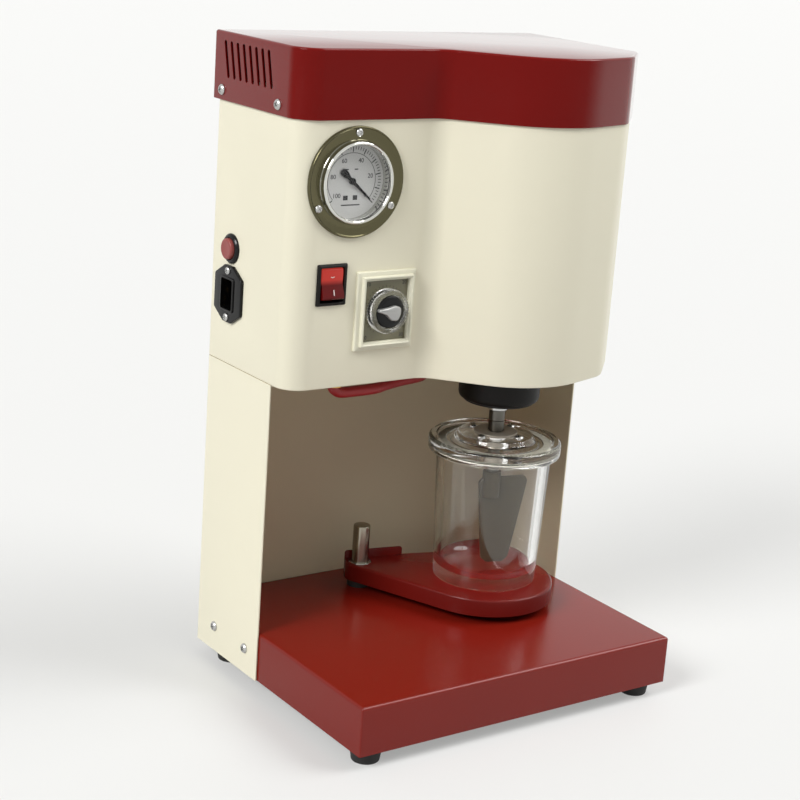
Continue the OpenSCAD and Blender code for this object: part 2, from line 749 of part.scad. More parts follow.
// The spindle's two bearings and the motor's two, each a plain pair of races
motor_shaft_r = 5;
motor_z0 = case_top;
motor_len = 105;
motor_end = 9;
motor_bearing_r = 11;
head_bearing_z = housing_z - 18;

module bearings() {
    color(steel) at_spindle() {
        for (z = [head_bearing_z, case_z0])
            ring(bearing_r, spindle_d / 2 + run_gap, z, z + bearing_h);
        for (z = [motor_z0 + 1, motor_z0 + motor_len - motor_end])
            ring(motor_bearing_r, motor_shaft_r + run_gap, z, z + motor_end - 1);
    }
}

// Motor: can, wound stator, rotor with the pinion on its shaft, and fan
motor_r = 43;
rotor_r = 24;
core_z0 = motor_z0 + 20;
core_h = 62;
fan_z = motor_z0 + motor_len + 2;

module motor_can() {
    color([0.2, 0.22, 0.24]) at_spindle() difference() {
        rod(motor_r, motor_z0, motor_z0 + motor_len);
        rod(motor_r - 2, motor_z0 + motor_end, motor_z0 + motor_len - motor_end);
        rod(motor_bearing_r, motor_z0 + 1, motor_z0 + motor_len + 1);
        rod(motor_shaft_r + 2, motor_z0 - 1, motor_z0 + 2);
    }
}

module motor_stator() {
    color([0.5, 0.35, 0.2]) at_spindle() {
        ring(motor_r - 2, rotor_r + 0.6, core_z0, core_z0 + core_h);
        ring(motor_r - 8, rotor_r + 3, core_z0 - 8, core_z0 + eps);
        ring(motor_r - 8, rotor_r + 3, core_z0 + core_h - eps, core_z0 + core_h + 8);
    }
}

module motor_rotor() {
    color(steel) at_spindle() {
        rod(motor_shaft_r, high_gear_z - 1, fan_z + 10);
        rod(rotor_r, core_z0, core_z0 + core_h);
        rotate(90 + 180 / pinion_teeth) gear(pinion_teeth, high_gear_z);
    }
}

module motor_fan() {
    blades = 8;
    color([0.15, 0.15, 0.15]) at_spindle() difference() {
        union() {
            rod(12, fan_z, fan_z + 10);
            rod(30, fan_z, fan_z + 1.5);
            for (i = [0:blades - 1]) rotate(i * 360 / blades) translate([10, -0.75, fan_z]) cube([20, 1.5, 10]);
        }
        rod(motor_shaft_r, fan_z - 1, fan_z + 11);
    }
}

// Black head under the floor, with the bearing seat, a lip seal and the rubber face seal
module head_collar() {
    z0 = housing_z - head_h;
    color(black) at_spindle() difference() {
        rotate_extrude() polygon([[0, z0], [head_d / 2 - 1.5, z0], [head_d / 2, z0 + 1.5], [head_d / 2, housing_z],
            [0, housing_z]]);
        rod(bearing_r, head_bearing_z, housing_z + 1);
        rod(12, z0 - 1, head_bearing_z + 1);
        ring(head_d / 2 - 4, head_d / 2 - 12, z0 - 1, z0 + 2);
    }
}

module head_seal() {
    z0 = housing_z - head_h;
    color([0.12, 0.12, 0.12]) at_spindle() ring(head_d / 2 - 4, head_d / 2 - 12, z0 - 1.5, z0 + 2);
}

module spindle_seal() {
    color([0.3, 0.12, 0.1]) at_spindle() ring(12, spindle_d / 2 + run_gap, head_bearing_z - 6.5, head_bearing_z - 0.5);
}

// Vacuum pump on the floor, its hoses, and the loop under the floor
pump_x = -half_w + 78.5;
pump_y = 82;
pump_size = [52, 36, 44];
pump_drive_r = 17;
pump_drive_l = 40;
pump_head_h = 10;
pump_port_h = 8;
fitting_r = 5;
fitting_top = floor_top + 8;

module pump_body() {
    color([0.3, 0.32, 0.35]) translate([pump_x, pump_y, floor_top]) {
        translate([-pump_size.x / 2, -pump_size.y / 2, 0]) cube(pump_size);
        translate([pump_size.x / 2 - eps, 0, pump_size.z - pump_drive_r - 3]) rotate([0, 90, 0])
            cylinder(r = pump_drive_r, h = pump_drive_l);
    }
}

module pump_head() {
    color(black) translate([pump_x, pump_y, floor_top + pump_size.z]) {
        cylinder(r = pump_size.y / 2 - 1, h = pump_head_h);
        for (x = [-8, 8]) translate([x, 0, pump_head_h - 1]) cylinder(r = 2.5, h = pump_port_h + 1);
    }
}

module inner_hoses() {
    stub_z = floor_top + pump_size.z + pump_head_h + pump_port_h;
    to_fitting = [[pump_x - 8, pump_y, stub_z], [pump_x - 8, pump_y, stub_z + 2], [pump_x - 8, pump_y, stub_z + 4],
        [pump_x - 14, pump_y - 14, stub_z + 17], [hose_in_x - 4, 50, stub_z + 4], [hose_in_x - 6, 28, floor_top + 42],
        [hose_in_x, hose_y + 3, floor_top + 22], [hose_in_x, hose_y, fitting_top + 4],
        [hose_in_x, hose_y, fitting_top + 2], [hose_in_x, hose_y, fitting_top]];
    gauge_z = housing_z + gauge_up;
    to_gauge = [[pump_x + 8, pump_y, stub_z], [pump_x + 8, pump_y, stub_z + 2], [pump_x + 8, pump_y, stub_z + 4],
        [pump_x + 2, pump_y + 4, stub_z + 34], [pump_x - 12, pump_y, gauge_z - 16],
        [-gauge_left, gauge_depth + 40, gauge_z - 2], [-gauge_left, gauge_depth + 17, gauge_z],
        [-gauge_left, gauge_depth + 14.5, gauge_z], [-gauge_left, gauge_depth + 12, gauge_z]];
    color([0.75, 0.75, 0.7]) {
        hose(smooth_route(to_fitting, 4), 3, [1, 0, 0.1]);
        hose(smooth_route(to_gauge, 4), 3, [1, 0.05, 0]);
    }
}

module hose_loop() {
    low = housing_z - 8.5;
    start = housing_z - 2;
    route = [[hose_in_x, hose_y, start], [hose_in_x, hose_y, start - 0.8], [hose_in_x, hose_y, start - 1.6],
        [hose_in_x + 1.7, hose_y, low + 2.9],
        [hose_in_x + 6, hose_y, low + 0.6], [hose_in_x + 14, hose_y, low], [hose_in_x + 38, hose_y + 0.5, low],
        [hose_in_x + 53, hose_y + 6.3, low], [hose_in_x + 71, hose_y + 12, low],
        [hose_out.x - 11, hose_out.y - 6, low + 0.4], [hose_out.x - 2, hose_out.y - 1.1, low + 2.9],
        [hose_out.x, hose_out.y, start - 1.6], [hose_out.x, hose_out.y, start - 0.8], [hose_out.x, hose_out.y, start]];
    color([0.72, 0.06, 0.08]) hose(smooth_route(route, 3), hose_r, [0, 1, 0], 12);
}

module hose_fittings() {
    color(brass) for (p = [[hose_in_x, hose_y], hose_out]) translate([p.x, p.y, 0]) {
        rod(fitting_r + 2, housing_z - 2, housing_z);
        rod(fitting_r, housing_z - eps, fitting_top);
        hex_rod(14, floor_top, floor_top + 4);
    }
}

// Tray: a plate with a skirt and a raised back edge, turning on the steel post
tray_sheet = 1.5;
bush_r = post_d / 2 + 2.5;
hub_r = bush_r + 3;
back_edge = 8.7;
plate_left = -10.6;
plate_len = 51.3;
plate_up = 7;
seat_local = [post_dx * cos(tray_turn) - post_dy * sin(tray_turn), -post_dx * sin(tray_turn) - post_dy * cos(tray_turn)];

module at_post() {
    translate([post_x, post_y, 0]) rotate(tray_turn) children();
}

module tray_line(inset) {
    hull() {
        translate(seat_local) circle(r = tray_r - inset, $fn = 96);
        translate([plate_left + inset, -4]) square([plate_len - inset, back_edge + 4 - inset]);
        circle(r = hub_r - inset);
    }
}

module tray_pan() {
    color(red) at_post() difference() {
        union() {
            difference() {
                translate([0, 0, tray_z0]) linear_extrude(tray_h) tray_line(0);
                translate([0, 0, tray_z0 - 1]) linear_extrude(tray_h - tray_sheet + 1) tray_line(tray_sheet);
            }
            translate([plate_left, back_edge - tray_sheet, tray_z0])
                cube([plate_len, tray_sheet, tray_h + plate_up]);
            rod(hub_r - 1, tray_z0, tray_top - 1);
        }
        rod(bush_r, tray_z0 - 1, tray_top + 1);
    }
}

module tray_bush() {
    color(steel) at_post() {
        ring(bush_r, post_d / 2 + run_gap, tray_z0 - 0.2, tray_top + 0.3);
    }
}

module tray_spacer() {
    color(black) at_post() ring(hub_r - 3, post_d / 2, base_top, tray_z0 - 0.2);
}

module tray_post() {
    top = tray_top + post_up;
    bottom = base_top - sheet - 14;
    r = post_d / 2;
    color(steel) at_post() rotate_extrude()
        polygon([[0, bottom], [r, bottom], [r, top - 1.2], [r - 1.2, top], [0, top]]);
}

module post_nut() {
    z0 = base_top - sheet - 10;
    color(steel) at_post() difference() {
        hex_rod(post_d + 8, z0, z0 + 10);
        rod(post_d / 2, z0 - 1, z0 + 11);
    }
}

// Jar and lid, closed, with the paddle hanging in the lid's bush
jar_base = 8;
boss_r = 31;
shoulder_r = 6.5;
shaft_r = 5;
lid_bush_r = 8.5;

function jar_in_r(z) = jar_foot_d / 2 - jar_wall + (jar_mouth_d - jar_foot_d) / 2 * (z - jar_z0) / jar_h;

module jar() {
    foot = jar_foot_d / 2;
    mouth = jar_mouth_d / 2;
    well = 12;
    well_z = jar_z0 + jar_base;
    well_c = jar_in_r(well_z + well) - well;
    color(clear) at_spindle() rotate_extrude($fn = 96) polygon(concat(
        [[0, jar_z0 + 1.5], [foot - 7, jar_z0 + 1.5], [foot - 5, jar_z0], [foot - 1.5, jar_z0], [foot, jar_z0 + 1.5],
            [mouth - 0.2, jar_z1 - 1.2], [mouth - 1.2, jar_z1], [mouth - jar_wall + 1, jar_z1],
            [mouth - jar_wall, jar_z1 - 1]],
        [for (a = [0:15:90]) [well_c + well * cos(a), well_z + well - well * sin(a)]],
        [[0, well_z]]));
}

module lid_gasket() {
    color([0.9, 0.9, 0.88]) at_spindle() ring(jar_mouth_d / 2 - 0.2, jar_mouth_d / 2 - jar_wall - 1, jar_z1, lid_z0);
}

module jar_lid() {
    r = lid_d / 2;
    spigot = jar_mouth_d / 2 - jar_wall - 1.2;
    color(clear) at_spindle() difference() {
        rotate_extrude($fn = 96) polygon([[lid_bush_r, lid_z0 - 3], [spigot - 4, lid_z0 - 3], [spigot - 3.5, lid_z0 - 6],
            [spigot, lid_z0 - 6], [spigot, lid_z0], [jar_mouth_d / 2 + 1, lid_z0], [jar_mouth_d / 2 + 1, lid_z0 - 2.5],
            [r - 1, lid_z0 - 2.5], [r, lid_z0 - 1.5], [r, lid_top - 2], [r - 2, lid_top], [boss_r + 1.5, lid_top],
            [boss_r, lid_top + 1], [boss_r - 1, boss_top], [lid_bush_r, boss_top]]);
        for (a = lid_screw_angles) rotate(a) translate([lid_pcd / 2, 0, boss_top - 7]) cylinder(d = 4.2, h = 10);
    }
}

lid_pcd = 44;
lid_screw_angles = [20, 110, 200, 290];
bush_flange = 17.5;

module lid_bush() {
    color(steel) at_spindle() {
        ring(lid_bush_r, shaft_r + run_gap, lid_z0 - 8, boss_top + 0.5);
        ring(bush_flange, shaft_r + run_gap, boss_top, boss_top + 1.8);
    }
}

module lid_screws() {
    color(steel) at_spindle() for (a = lid_screw_angles)
        rotate(a) translate([lid_pcd / 2, 0, boss_top]) pan_screw(4, 6);
}

// Paddle: shaft with shoulder and hexagon, and a one-sided blade that narrows towards its foot
blade_foot_w = 24;
blade_foot_off = blade_off - 3;
blade_z0 = jar_z0 + 12;
blade_h = jar_h - 36.5;
blade_t = 3;
blade_turn = -15;

module paddle_shaft() {
    color(steel) at_spindle() {
        rod(shaft_r, blade_z0 + blade_h - 8, boss_top + 3);
        rod(shoulder_r, boss_top + 2.3, socket_z - 9.5);
        hex_rod(hex_af, socket_z - 10, socket_z + 9);
    }
}

module paddle_blades() {
    x0 = blade_off - blade_w / 2;
    x1 = blade_off + blade_w / 2;
    f0 = blade_foot_off - blade_foot_w / 2;
    f1 = blade_foot_off + blade_foot_w / 2;
    color([0.75, 0.75, 0.76]) at_spindle() rotate(blade_turn) difference() {
        union() {
            translate([0, blade_t / 2, blade_z0]) rotate([90, 0, 0]) linear_extrude(blade_t)
                polygon([[f0 + 5, 0], [f1 - 5, 0], [f1, 4], [x1, blade_h - 4], [x1 - 3, blade_h], [x0 + 3, blade_h],
                    [x0, blade_h - 4], [f0, 4]]);
            rod(shaft_r + 2.5, blade_z0 + blade_h - 16, blade_z0 + blade_h + 6);
        }
        rod(shaft_r, blade_z0 + blade_h - 8, blade_z0 + blade_h + 7);
    }
}

base_pan();
base_plate();
feet();
foot_screws();
column_shell();
column_screws();
housing_shell();
housing_floor();
top_cover();
cover_screws();
gauge_case();
gauge_flange();
gauge_glass();
gauge_dial();
gauge_tube();
gauge_screws();
gauge_needle();
rocker_frame();
rocker_key();
timer_frame();
timer_dial();
timer_ring();
timer_knob();
button_bezel();
button_cap();
button_spring();
inlet_socket();
inlet_pins();
inlet_screws();
gearbox_case();
gearbox_lid();
spindle();
spindle_gear();
bearings();
lay_gear();
motor_can();
motor_stator();
motor_rotor();
motor_fan();
head_collar();
head_seal();
spindle_seal();
pump_body();
pump_head();
inner_hoses();
hose_loop();
hose_fittings();
tray_post();
post_nut();
tray_spacer();
tray_pan();
tray_bush();
jar();
jar_lid();
lid_gasket();
lid_bush();
lid_screws();
paddle_shaft();
paddle_blades();
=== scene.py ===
import json
import math

import bmesh
import bpy
import numpy as np
from mathutils import Matrix, Vector


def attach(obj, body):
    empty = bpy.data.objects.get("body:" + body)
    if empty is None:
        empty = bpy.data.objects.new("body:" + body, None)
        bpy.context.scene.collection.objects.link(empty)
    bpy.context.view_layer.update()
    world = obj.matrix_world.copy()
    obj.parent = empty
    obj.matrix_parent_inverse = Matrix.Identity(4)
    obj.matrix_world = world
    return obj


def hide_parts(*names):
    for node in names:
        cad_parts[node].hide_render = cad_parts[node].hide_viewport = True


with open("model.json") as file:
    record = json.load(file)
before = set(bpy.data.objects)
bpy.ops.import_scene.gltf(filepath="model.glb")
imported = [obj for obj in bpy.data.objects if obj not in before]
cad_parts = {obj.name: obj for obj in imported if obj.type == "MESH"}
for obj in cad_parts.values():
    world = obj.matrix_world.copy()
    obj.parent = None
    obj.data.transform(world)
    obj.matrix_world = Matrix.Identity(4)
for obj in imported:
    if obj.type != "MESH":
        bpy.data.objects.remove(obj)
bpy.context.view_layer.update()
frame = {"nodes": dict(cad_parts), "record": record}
print("frame loaded")

# Sizes are in millimetres and angles in degrees; only the camera is in metres
camera = {"place": (-0.8373, -1.1010, 0.6216), "yaw": 35.707, "pitch": 15.927, "roll": 4.093, "lens": 83.05}
body = {"halfWidth": 148.5, "depth": 118, "setback": 23, "floor": 250.5, "top": 449.5, "sheet": 1.5,
        "foot": 12}
bulge = {"centre": (58, 10), "radius": 70, "flank": 48, "shoulder": 16, "shoulderLength": 36, "facet": 45}
bends = (18, -22, 70, 30, 12, 3, 3)  # radii at the corners of the housing's outline


def unit(v):
    return v / np.linalg.norm(v, axis=-1, keepdims=True)


def turnLeft(v):
    return np.stack([-v[..., 1], v[..., 0]], axis=-1)


# Each corner moved out by g along both of its edges: the sum of their normals over one plus their product
def grown(points, g):
    points = np.asarray(points, float)
    before, after = unit(points - np.roll(points, 1, 0)), unit(np.roll(points, -1, 0) - points)
    n1, n2 = -turnLeft(before), -turnLeft(after)
    return points + g * (n1 + n2) / (1 + (n1 * n2).sum(1, keepdims=True))


# The outline with each corner replaced by an arc; a negative radius is a hollow bend, and g keeps the count
def rounded(points, radii, g=0.0, step=4.0):
    out = []
    points = grown(points, g)
    for i, b in enumerate(points):
        u, v = unit(points[i - 1] - b), unit(points[(i + 1) % len(points)] - b)
        half = math.acos(np.clip(u @ v, -1, 1)) / 2
        hollow = radii[i] < 0
        r = max(abs(radii[i]) + (-g if hollow else g), 0.2)
        centre = b + unit(u + v) * r / math.sin(half)
        start = b + u * r / math.tan(half) - centre
        sweep = (math.pi - 2 * half) * (-1 if hollow else 1)
        steps = max(2, math.ceil(abs(math.degrees(sweep)) / step - 0.01))
        t = (sweep * np.arange(steps + 1) / steps)[:, None]
        out.append(centre + start * np.cos(t) + turnLeft(start) * np.sin(t))
    return np.concatenate(out)


def rectangle(width, height, x=0.0, y=0.0):
    w, h = width / 2, height / 2
    return [[x - w, y - h], [x + w, y - h], [x + w, y + h], [x - w, y + h]]


# Points round a circle, by the cosine and sine of equal steps of the angle
def circle(r, count):
    a = np.arange(count) * 2 * math.pi / count
    return r * np.stack([np.cos(a), np.sin(a)], axis=-1)


# The convex outline round several circles: in each direction, the point of the circle that reaches furthest
def aroundCircles(circles, g=0.0, count=180):
    way = circle(1, count)
    centres, radii = np.array([c[:2] for c in circles], float), np.array([c[2] for c in circles], float) + g
    furthest = np.argmax(way @ centres.T + radii, axis=1)
    return centres[furthest] + radii[furthest, None] * way


# Front corner, valley, bulge, shoulder, facet and back of the housing; the slopes' lines meet at the corners
def bodyOutline(g, back=None):
    c, r, w = np.array(bulge["centre"], float), bulge["radius"], body["halfWidth"]
    flank, shoulder, facet = (math.radians(bulge[k]) for k in ("flank", "shoulder", "facet"))
    n1 = np.array([-math.sin(flank), -math.cos(flank)])
    n2 = np.array([math.sin(shoulder), -math.cos(shoulder)])
    left, right = c + r * n1, c + r * n2
    valley = [left[0] + left[1] / math.tan(flank), 0]
    tip = c + r * (n1 + n2) / (1 + n1 @ n2)
    facetX = right[0] + bulge["shoulderLength"]
    start = [facetX, right[1] + (facetX - right[0]) * math.tan(shoulder)]
    end = [w, start[1] + (w - facetX) * math.tan(facet)]
    y = back or body["depth"]
    radii = bends if back is None else bends[:5] + (0.6, 0.6)
    return rounded([[-w, 0], valley, tip, start, end, [w, y], [-w, y]], radii, g)


def meshFrom(name, points, faces, slots=None):
    mesh = bpy.data.meshes.new(name)
    mesh.from_pydata(np.asarray(points, float).reshape(-1, 3).tolist(), [], faces)
    if slots is not None:
        mesh.polygons.foreach_set("material_index", np.asarray(slots, dtype=np.int32))
    mesh.update()
    return mesh


# Quads between neighbouring rows and columns of a grid, the last column joined to the first
def gridFaces(rows, cols, loop=False):
    i = np.arange(rows if loop else rows - 1)[:, None]
    j = np.arange(cols)[None, :]
    a, b = i * cols, ((i + 1) % rows) * cols
    return np.stack([a + j, a + (j + 1) % cols, b + (j + 1) % cols, b + j], axis=-1).reshape(-1, 4).tolist()


def tidyMesh(mesh, merge=1e-4):
    b = bmesh.new()
    b.from_mesh(mesh)
    bmesh.ops.remove_doubles(b, verts=b.verts, dist=merge)
    bmesh.ops.dissolve_degenerate(b, dist=merge, edges=b.edges)
    bmesh.ops.recalc_face_normals(b, faces=b.faces)
    b.to_mesh(mesh)
    b.free()
    return mesh


# A skin over closed rings of equal length, one above the other, with flat caps unless it closes on itself
def stack(name, rings, loop=False):
    grid = np.stack(rings)
    rows, cols = grid.shape[:2]
    faces = gridFaces(rows, cols, loop)
    if not loop:
        faces += [list(range(cols))[::-1], [(rows - 1) * cols + k for k in range(cols)]]
    return tidyMesh(meshFrom(name, grid, faces))


def ringAt(outline, z):
    return np.column_stack([outline, np.full(len(outline), float(z))])


# Rings of an outline that is drawn anew for each step: g outwards and z up
def ringsOf(outline, steps):
    return [ringAt(outline(g), z) for g, z in steps]


# Steps of a quarter round at a top edge: in by r less its cosine, and down by r less its sine
def topEdge(r, z, steps):
    quarter = np.linspace(0, math.pi / 2, steps + 1)
    return [(-r * (1 - math.cos(a)), z - r * (1 - math.sin(a))) for a in quarter]


# The same at a bottom edge, from the underside out to the wall
def bottomEdge(r, z, steps):
    quarter = np.linspace(0, math.pi / 2, steps + 1)
    return [(-r * (1 - math.sin(a)), z + r * (1 - math.cos(a))) for a in quarter]


# Corners of a profile eased by short curves; each entry is r, z and how far the curve reaches
def softProfile(points, steps=4):
    out = []
    for i, p in enumerate(points):
        reach = p[2] if len(p) > 2 else 0
        if reach == 0 or i in (0, len(points) - 1):
            out.append(np.array([p[:2]], float))
            continue
        a, b, c = (np.array(points[k][:2], float) for k in (i - 1, i, i + 1))
        start, end = b + unit(a - b) * reach, b + unit(c - b) * reach
        t = np.linspace(0, 1, steps + 1)[:, None]
        out.append((1 - t) ** 2 * start + 2 * t * (1 - t) * b + t * t * end)
    return np.concatenate(out)


# An eased profile turned about Z: x and y are r times the cosine and sine of the angle
def lathe(name, points, segments=64, loop=False, slots=None):
    profile = softProfile(points)
    way = circle(1, segments)
    r, z = profile[:, :1], profile[:, 1:]
    grid = np.stack([r * way[:, 0], r * way[:, 1], z + 0 * way[:, 0]], axis=-1)
    index = None if slots is None else np.repeat(slots, segments)
    return tidyMesh(meshFrom(name, grid, gridFaces(len(profile), segments, loop), index))


def rod(name, r, z0, z1, segments=64):
    return lathe(name, [(0, z0), (r, z0), (r, z1), (0, z1)], segments)


def sleeve(name, r0, r1, z0, z1, segments=64):
    return lathe(name, [(r0, z0), (r1, z0), (r1, z1), (r0, z1)], segments, loop=True)


# A flat outline pushed up from z0 to z1; its top and bottom edges turn over in a quarter round if asked
def slab(name, corners, radii, z0, z1, top=0.0, bottom=0.0, steps=4, arc=12):
    low = bottomEdge(bottom, z0, steps) if bottom else [(0, z0)]
    high = topEdge(top, z1, steps) if top else [(0, z1)]
    return stack(name, ringsOf(lambda g: rounded(corners, radii, g, arc), low + high))


# A frame: a profile of steps out from an inner outline, g outwards and z up, closed on itself
def framed(name, corners, radii, profile, arc=12):
    return stack(name, ringsOf(lambda g: rounded(grown(corners, g), radii, 0, arc), profile), loop=True)


# Long thin boxes from start to end, all at one height, as two layers of four corners each
def bars(name, starts, ends, width, z0, z1):
    starts, ends = np.asarray(starts, float), np.asarray(ends, float)
    side = turnLeft(unit(ends - starts)) * width / 2
    flat = np.stack([starts - side, ends - side, ends + side, starts + side], axis=1)
    low, high = (np.concatenate([flat, np.full(flat.shape[:2] + (1,), z)], axis=-1) for z in (z0, z1))
    points = np.concatenate([low, high], axis=1)
    quads = np.array([[3, 2, 1, 0], [4, 5, 6, 7], [0, 1, 5, 4], [1, 2, 6, 5], [2, 3, 7, 6], [3, 0, 4, 7]])
    return meshFrom(name, points, (np.arange(len(points))[:, None, None] * 8 + quads).reshape(-1, 4).tolist())


# Points between the given ones on a Catmull-Rom curve, n to each stretch
def smoothRoute(points, n):
    p = np.asarray(points, float)
    padded = np.concatenate([p[:1], p, p[-1:]])
    a, b, c, d = padded[:-3, None], padded[1:-2, None], padded[2:-1, None], padded[3:, None]
    t = (np.arange(n) / n)[None, :, None]
    square, cube = 2 * a - 5 * b + 4 * c - d, 3 * b - a - 3 * c + d
    curve = 0.5 * (2 * b + (c - a) * t + square * t ** 2 + cube * t ** 3)
    return np.concatenate([curve.reshape(-1, 3), p[-1:]])


# A tube: at each point of the route, a circle square to the way the route goes
def tube(name, route, radius, across=(0, 1, 0), sides=24):
    way = unit(np.gradient(route, axis=0))
    u = unit(np.cross(np.array(across, float), way))
    v = np.cross(way, u)
    ring = circle(radius, sides)[:, :, None]
    return stack(name, route[:, None] + ring[:, 0] * u[:, None] + ring[:, 1] * v[:, None])


def joined(name, meshes, matrices=None):
    b = bmesh.new()
    for i, m in enumerate(meshes):
        copy = m.copy()
        if matrices:
            copy.transform(matrices[i])
        b.from_mesh(copy)
        bpy.data.meshes.remove(copy)
    mesh = bpy.data.meshes.new(name)
    b.to_mesh(mesh)
    b.free()
    return mesh


def moved(mesh, matrix):
    mesh.transform(matrix)
    return mesh


def inScene(name, data):
    obj = bpy.data.objects.new(name, data)
    bpy.context.scene.collection.objects.link(obj)
    return obj


# The mesh that an object shows in the end; the object itself is removed
def finished(obj):
    mesh = bpy.data.meshes.new_from_object(obj.evaluated_get(bpy.context.evaluated_depsgraph_get()))
    bpy.data.objects.remove(obj)
    return mesh


def modified(mesh, kind, settings):
    obj = inScene("work", mesh)
    modifier = obj.modifiers.new("work", kind)
    for key, value in settings.items():
        setattr(modifier, key, value)
    return finished(obj)


def cut(mesh, cutters, operation="DIFFERENCE"):
    tool = inScene("tool", joined("tool", cutters))
    settings = {"operation": operation, "solver": "EXACT", "use_self": True, "object": tool}
    result = modified(mesh, "BOOLEAN", settings)
    bpy.data.objects.remove(tool)
    return result


def bevelled(mesh, width, segments=2, angle=30):
    return modified(mesh, "BEVEL", {"width": width, "segments": segments, "limit_method": "ANGLE",
                                    "angle_limit": math.radians(angle), "miter_outer": "MITER_ARC"})


def move(x, y, z):
    return Matrix.Translation((x, y, z))


def spun(angle, axis="Z"):
    return Matrix.Rotation(math.radians(angle), 4, axis)


# Figures as flat solid shapes, set up in the font of the program
def numeral(text, size, x, y, z, thickness=0.05):
    curve = bpy.data.curves.new("figure", "FONT")
    curve.body = text
    curve.size = size
    curve.align_x = "CENTER"
    curve.align_y = "CENTER"
    curve.extrude = thickness
    curve.offset = 0.012 * size
    curve.resolution_u = 4
    return moved(tidyMesh(finished(inScene("figure", curve))), move(x, y, z))


# Z out of the flat front and Y up
def onFront(centre):
    return move(centre[0], 0, centre[1]) @ spun(90, "X")


# Z out of a side wall and Y up
def onSide(side, y, z, out=0):
    turn = Matrix(((0, 0, side, 0), (side, 0, 0, 0), (0, 1, 0, 0), (0, 0, 0, 1)))
    return move(side * (body["halfWidth"] + out), y, z) @ turn


# Turns a mesh into an object of the part: its place is in its points, in metres
def place(name, mesh, material, rider, replaced=(), smooth=35, matrix=None):
    obj = inScene(name, mesh)
    if matrix is not None:
        mesh.transform(matrix)
        if matrix.determinant() < 0:
            mesh.flip_normals()
    mesh.transform(Matrix.Scale(0.001, 4))
    mesh.polygons.foreach_set("use_smooth", [True] * len(mesh.polygons))
    mesh.set_sharp_from_angle(angle=math.radians(smooth))
    slots = np.zeros(len(mesh.polygons), dtype=np.int32)
    mesh.polygons.foreach_get("material_index", slots)
    mesh.materials.clear()
    several = isinstance(material, list)
    for m in material if several else [material]:
        mesh.materials.append(m)
    mesh.polygons.foreach_set("material_index", slots if several else slots * 0)
    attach(obj, rider)
    if replaced:
        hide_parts(*replaced)
    return obj


# Sets an input of a node, or links it to another node's output
def feed(tree, socket, source):
    if isinstance(source, bpy.types.NodeSocket):
        tree.links.new(source, socket)
    else:
        socket.default_value = source


def node(tree, kind, **values):
    n = tree.nodes.new(kind)
    for key, value in values.items():
        if key in n.inputs:
            feed(tree, n.inputs[key], value)
        else:
            setattr(n, key, value)
    return n


def maths(tree, operation, *values):
    n = node(tree, "ShaderNodeMath", operation=operation)
    for socket, value in zip(n.inputs, values):
        feed(tree, socket, value)
    return n.outputs[0]


# A value carried in proportion from one range to another and held at its ends
def ranged(tree, value, start, end, least, most):
    n = tree.nodes.new("ShaderNodeMapRange")
    names = ("Value", "From Min", "From Max", "To Min", "To Max")
    for key, source in zip(names, (value, start, end, least, most)):
        feed(tree, n.inputs[key], source)
    return n.outputs["Result"]


# Broad mottling of colour and gloss, fine relief, and fine scuffs that are a little paler and duller
def surfaceGroup():
    g = bpy.data.node_groups.new("surface wear", "ShaderNodeTree")
    inputs = (("Color", "NodeSocketColor", (1, 1, 1, 1)), ("Scale", "NodeSocketFloat", 400),
              ("Tint", "NodeSocketFloat", 0.05), ("Roughness", "NodeSocketFloat", 0.4),
              ("Roughness Spread", "NodeSocketFloat", 0.05), ("Relief", "NodeSocketFloat", 0.02),
              ("Scuffs", "NodeSocketFloat", 0.0))
    for name, kind, value in inputs:
        g.interface.new_socket(name, in_out="INPUT", socket_type=kind).default_value = value
    outputs = (("Color", "NodeSocketColor"), ("Roughness", "NodeSocketFloat"), ("Normal", "NodeSocketVector"))
    for name, kind in outputs:
        g.interface.new_socket(name, in_out="OUTPUT", socket_type=kind)
    given = g.nodes.new("NodeGroupInput").outputs
    where = g.nodes.new("ShaderNodeTexCoord").outputs["Object"]
    fine = node(g, "ShaderNodeTexNoise", Detail=2.0, Scale=given["Scale"], Vector=where)
    broad = node(g, "ShaderNodeTexNoise", Detail=3.0, Scale=14.0, Vector=where)
    stretch = node(g, "ShaderNodeMapping", Scale=(900, 900, 60), Vector=where)
    scratch = node(g, "ShaderNodeTexNoise", Detail=1.0, Scale=1.0, Vector=stretch.outputs["Vector"])
    shade = ranged(g, broad.outputs["Fac"], 0, 1, -0.5, 0.5)
    scuff = maths(g, "MULTIPLY", ranged(g, scratch.outputs["Fac"], 0.62, 0.72, 0, 1), given["Scuffs"])
    paler = maths(g, "ADD", maths(g, "MULTIPLY_ADD", shade, given["Tint"], 1.0), scuff)
    rough = maths(g, "MULTIPLY_ADD", shade, given["Roughness Spread"], given["Roughness"])
    colour = node(g, "ShaderNodeVectorMath", operation="SCALE", Vector=given["Color"], Scale=paler)
    bump = node(g, "ShaderNodeBump", Distance=0.0004, Strength=given["Relief"], Height=fine.outputs["Fac"])
    node(g, "NodeGroupOutput", Color=colour.outputs["Vector"], Roughness=maths(g, "ADD", rough, scuff),
         Normal=bump.outputs["Normal"])
    return g


surfaceWear = surfaceGroup()


def newMaterial(name):
    m = bpy.data.materials.new(name)
    m.use_nodes = True
    return m, m.node_tree, m.node_tree.nodes["Principled BSDF"].inputs


def wearNode(tree, finish):
    g = node(tree, "ShaderNodeGroup", node_tree=surfaceWear)
    for name, value in finish.items():
        g.inputs[name].default_value = value
    return g.outputs


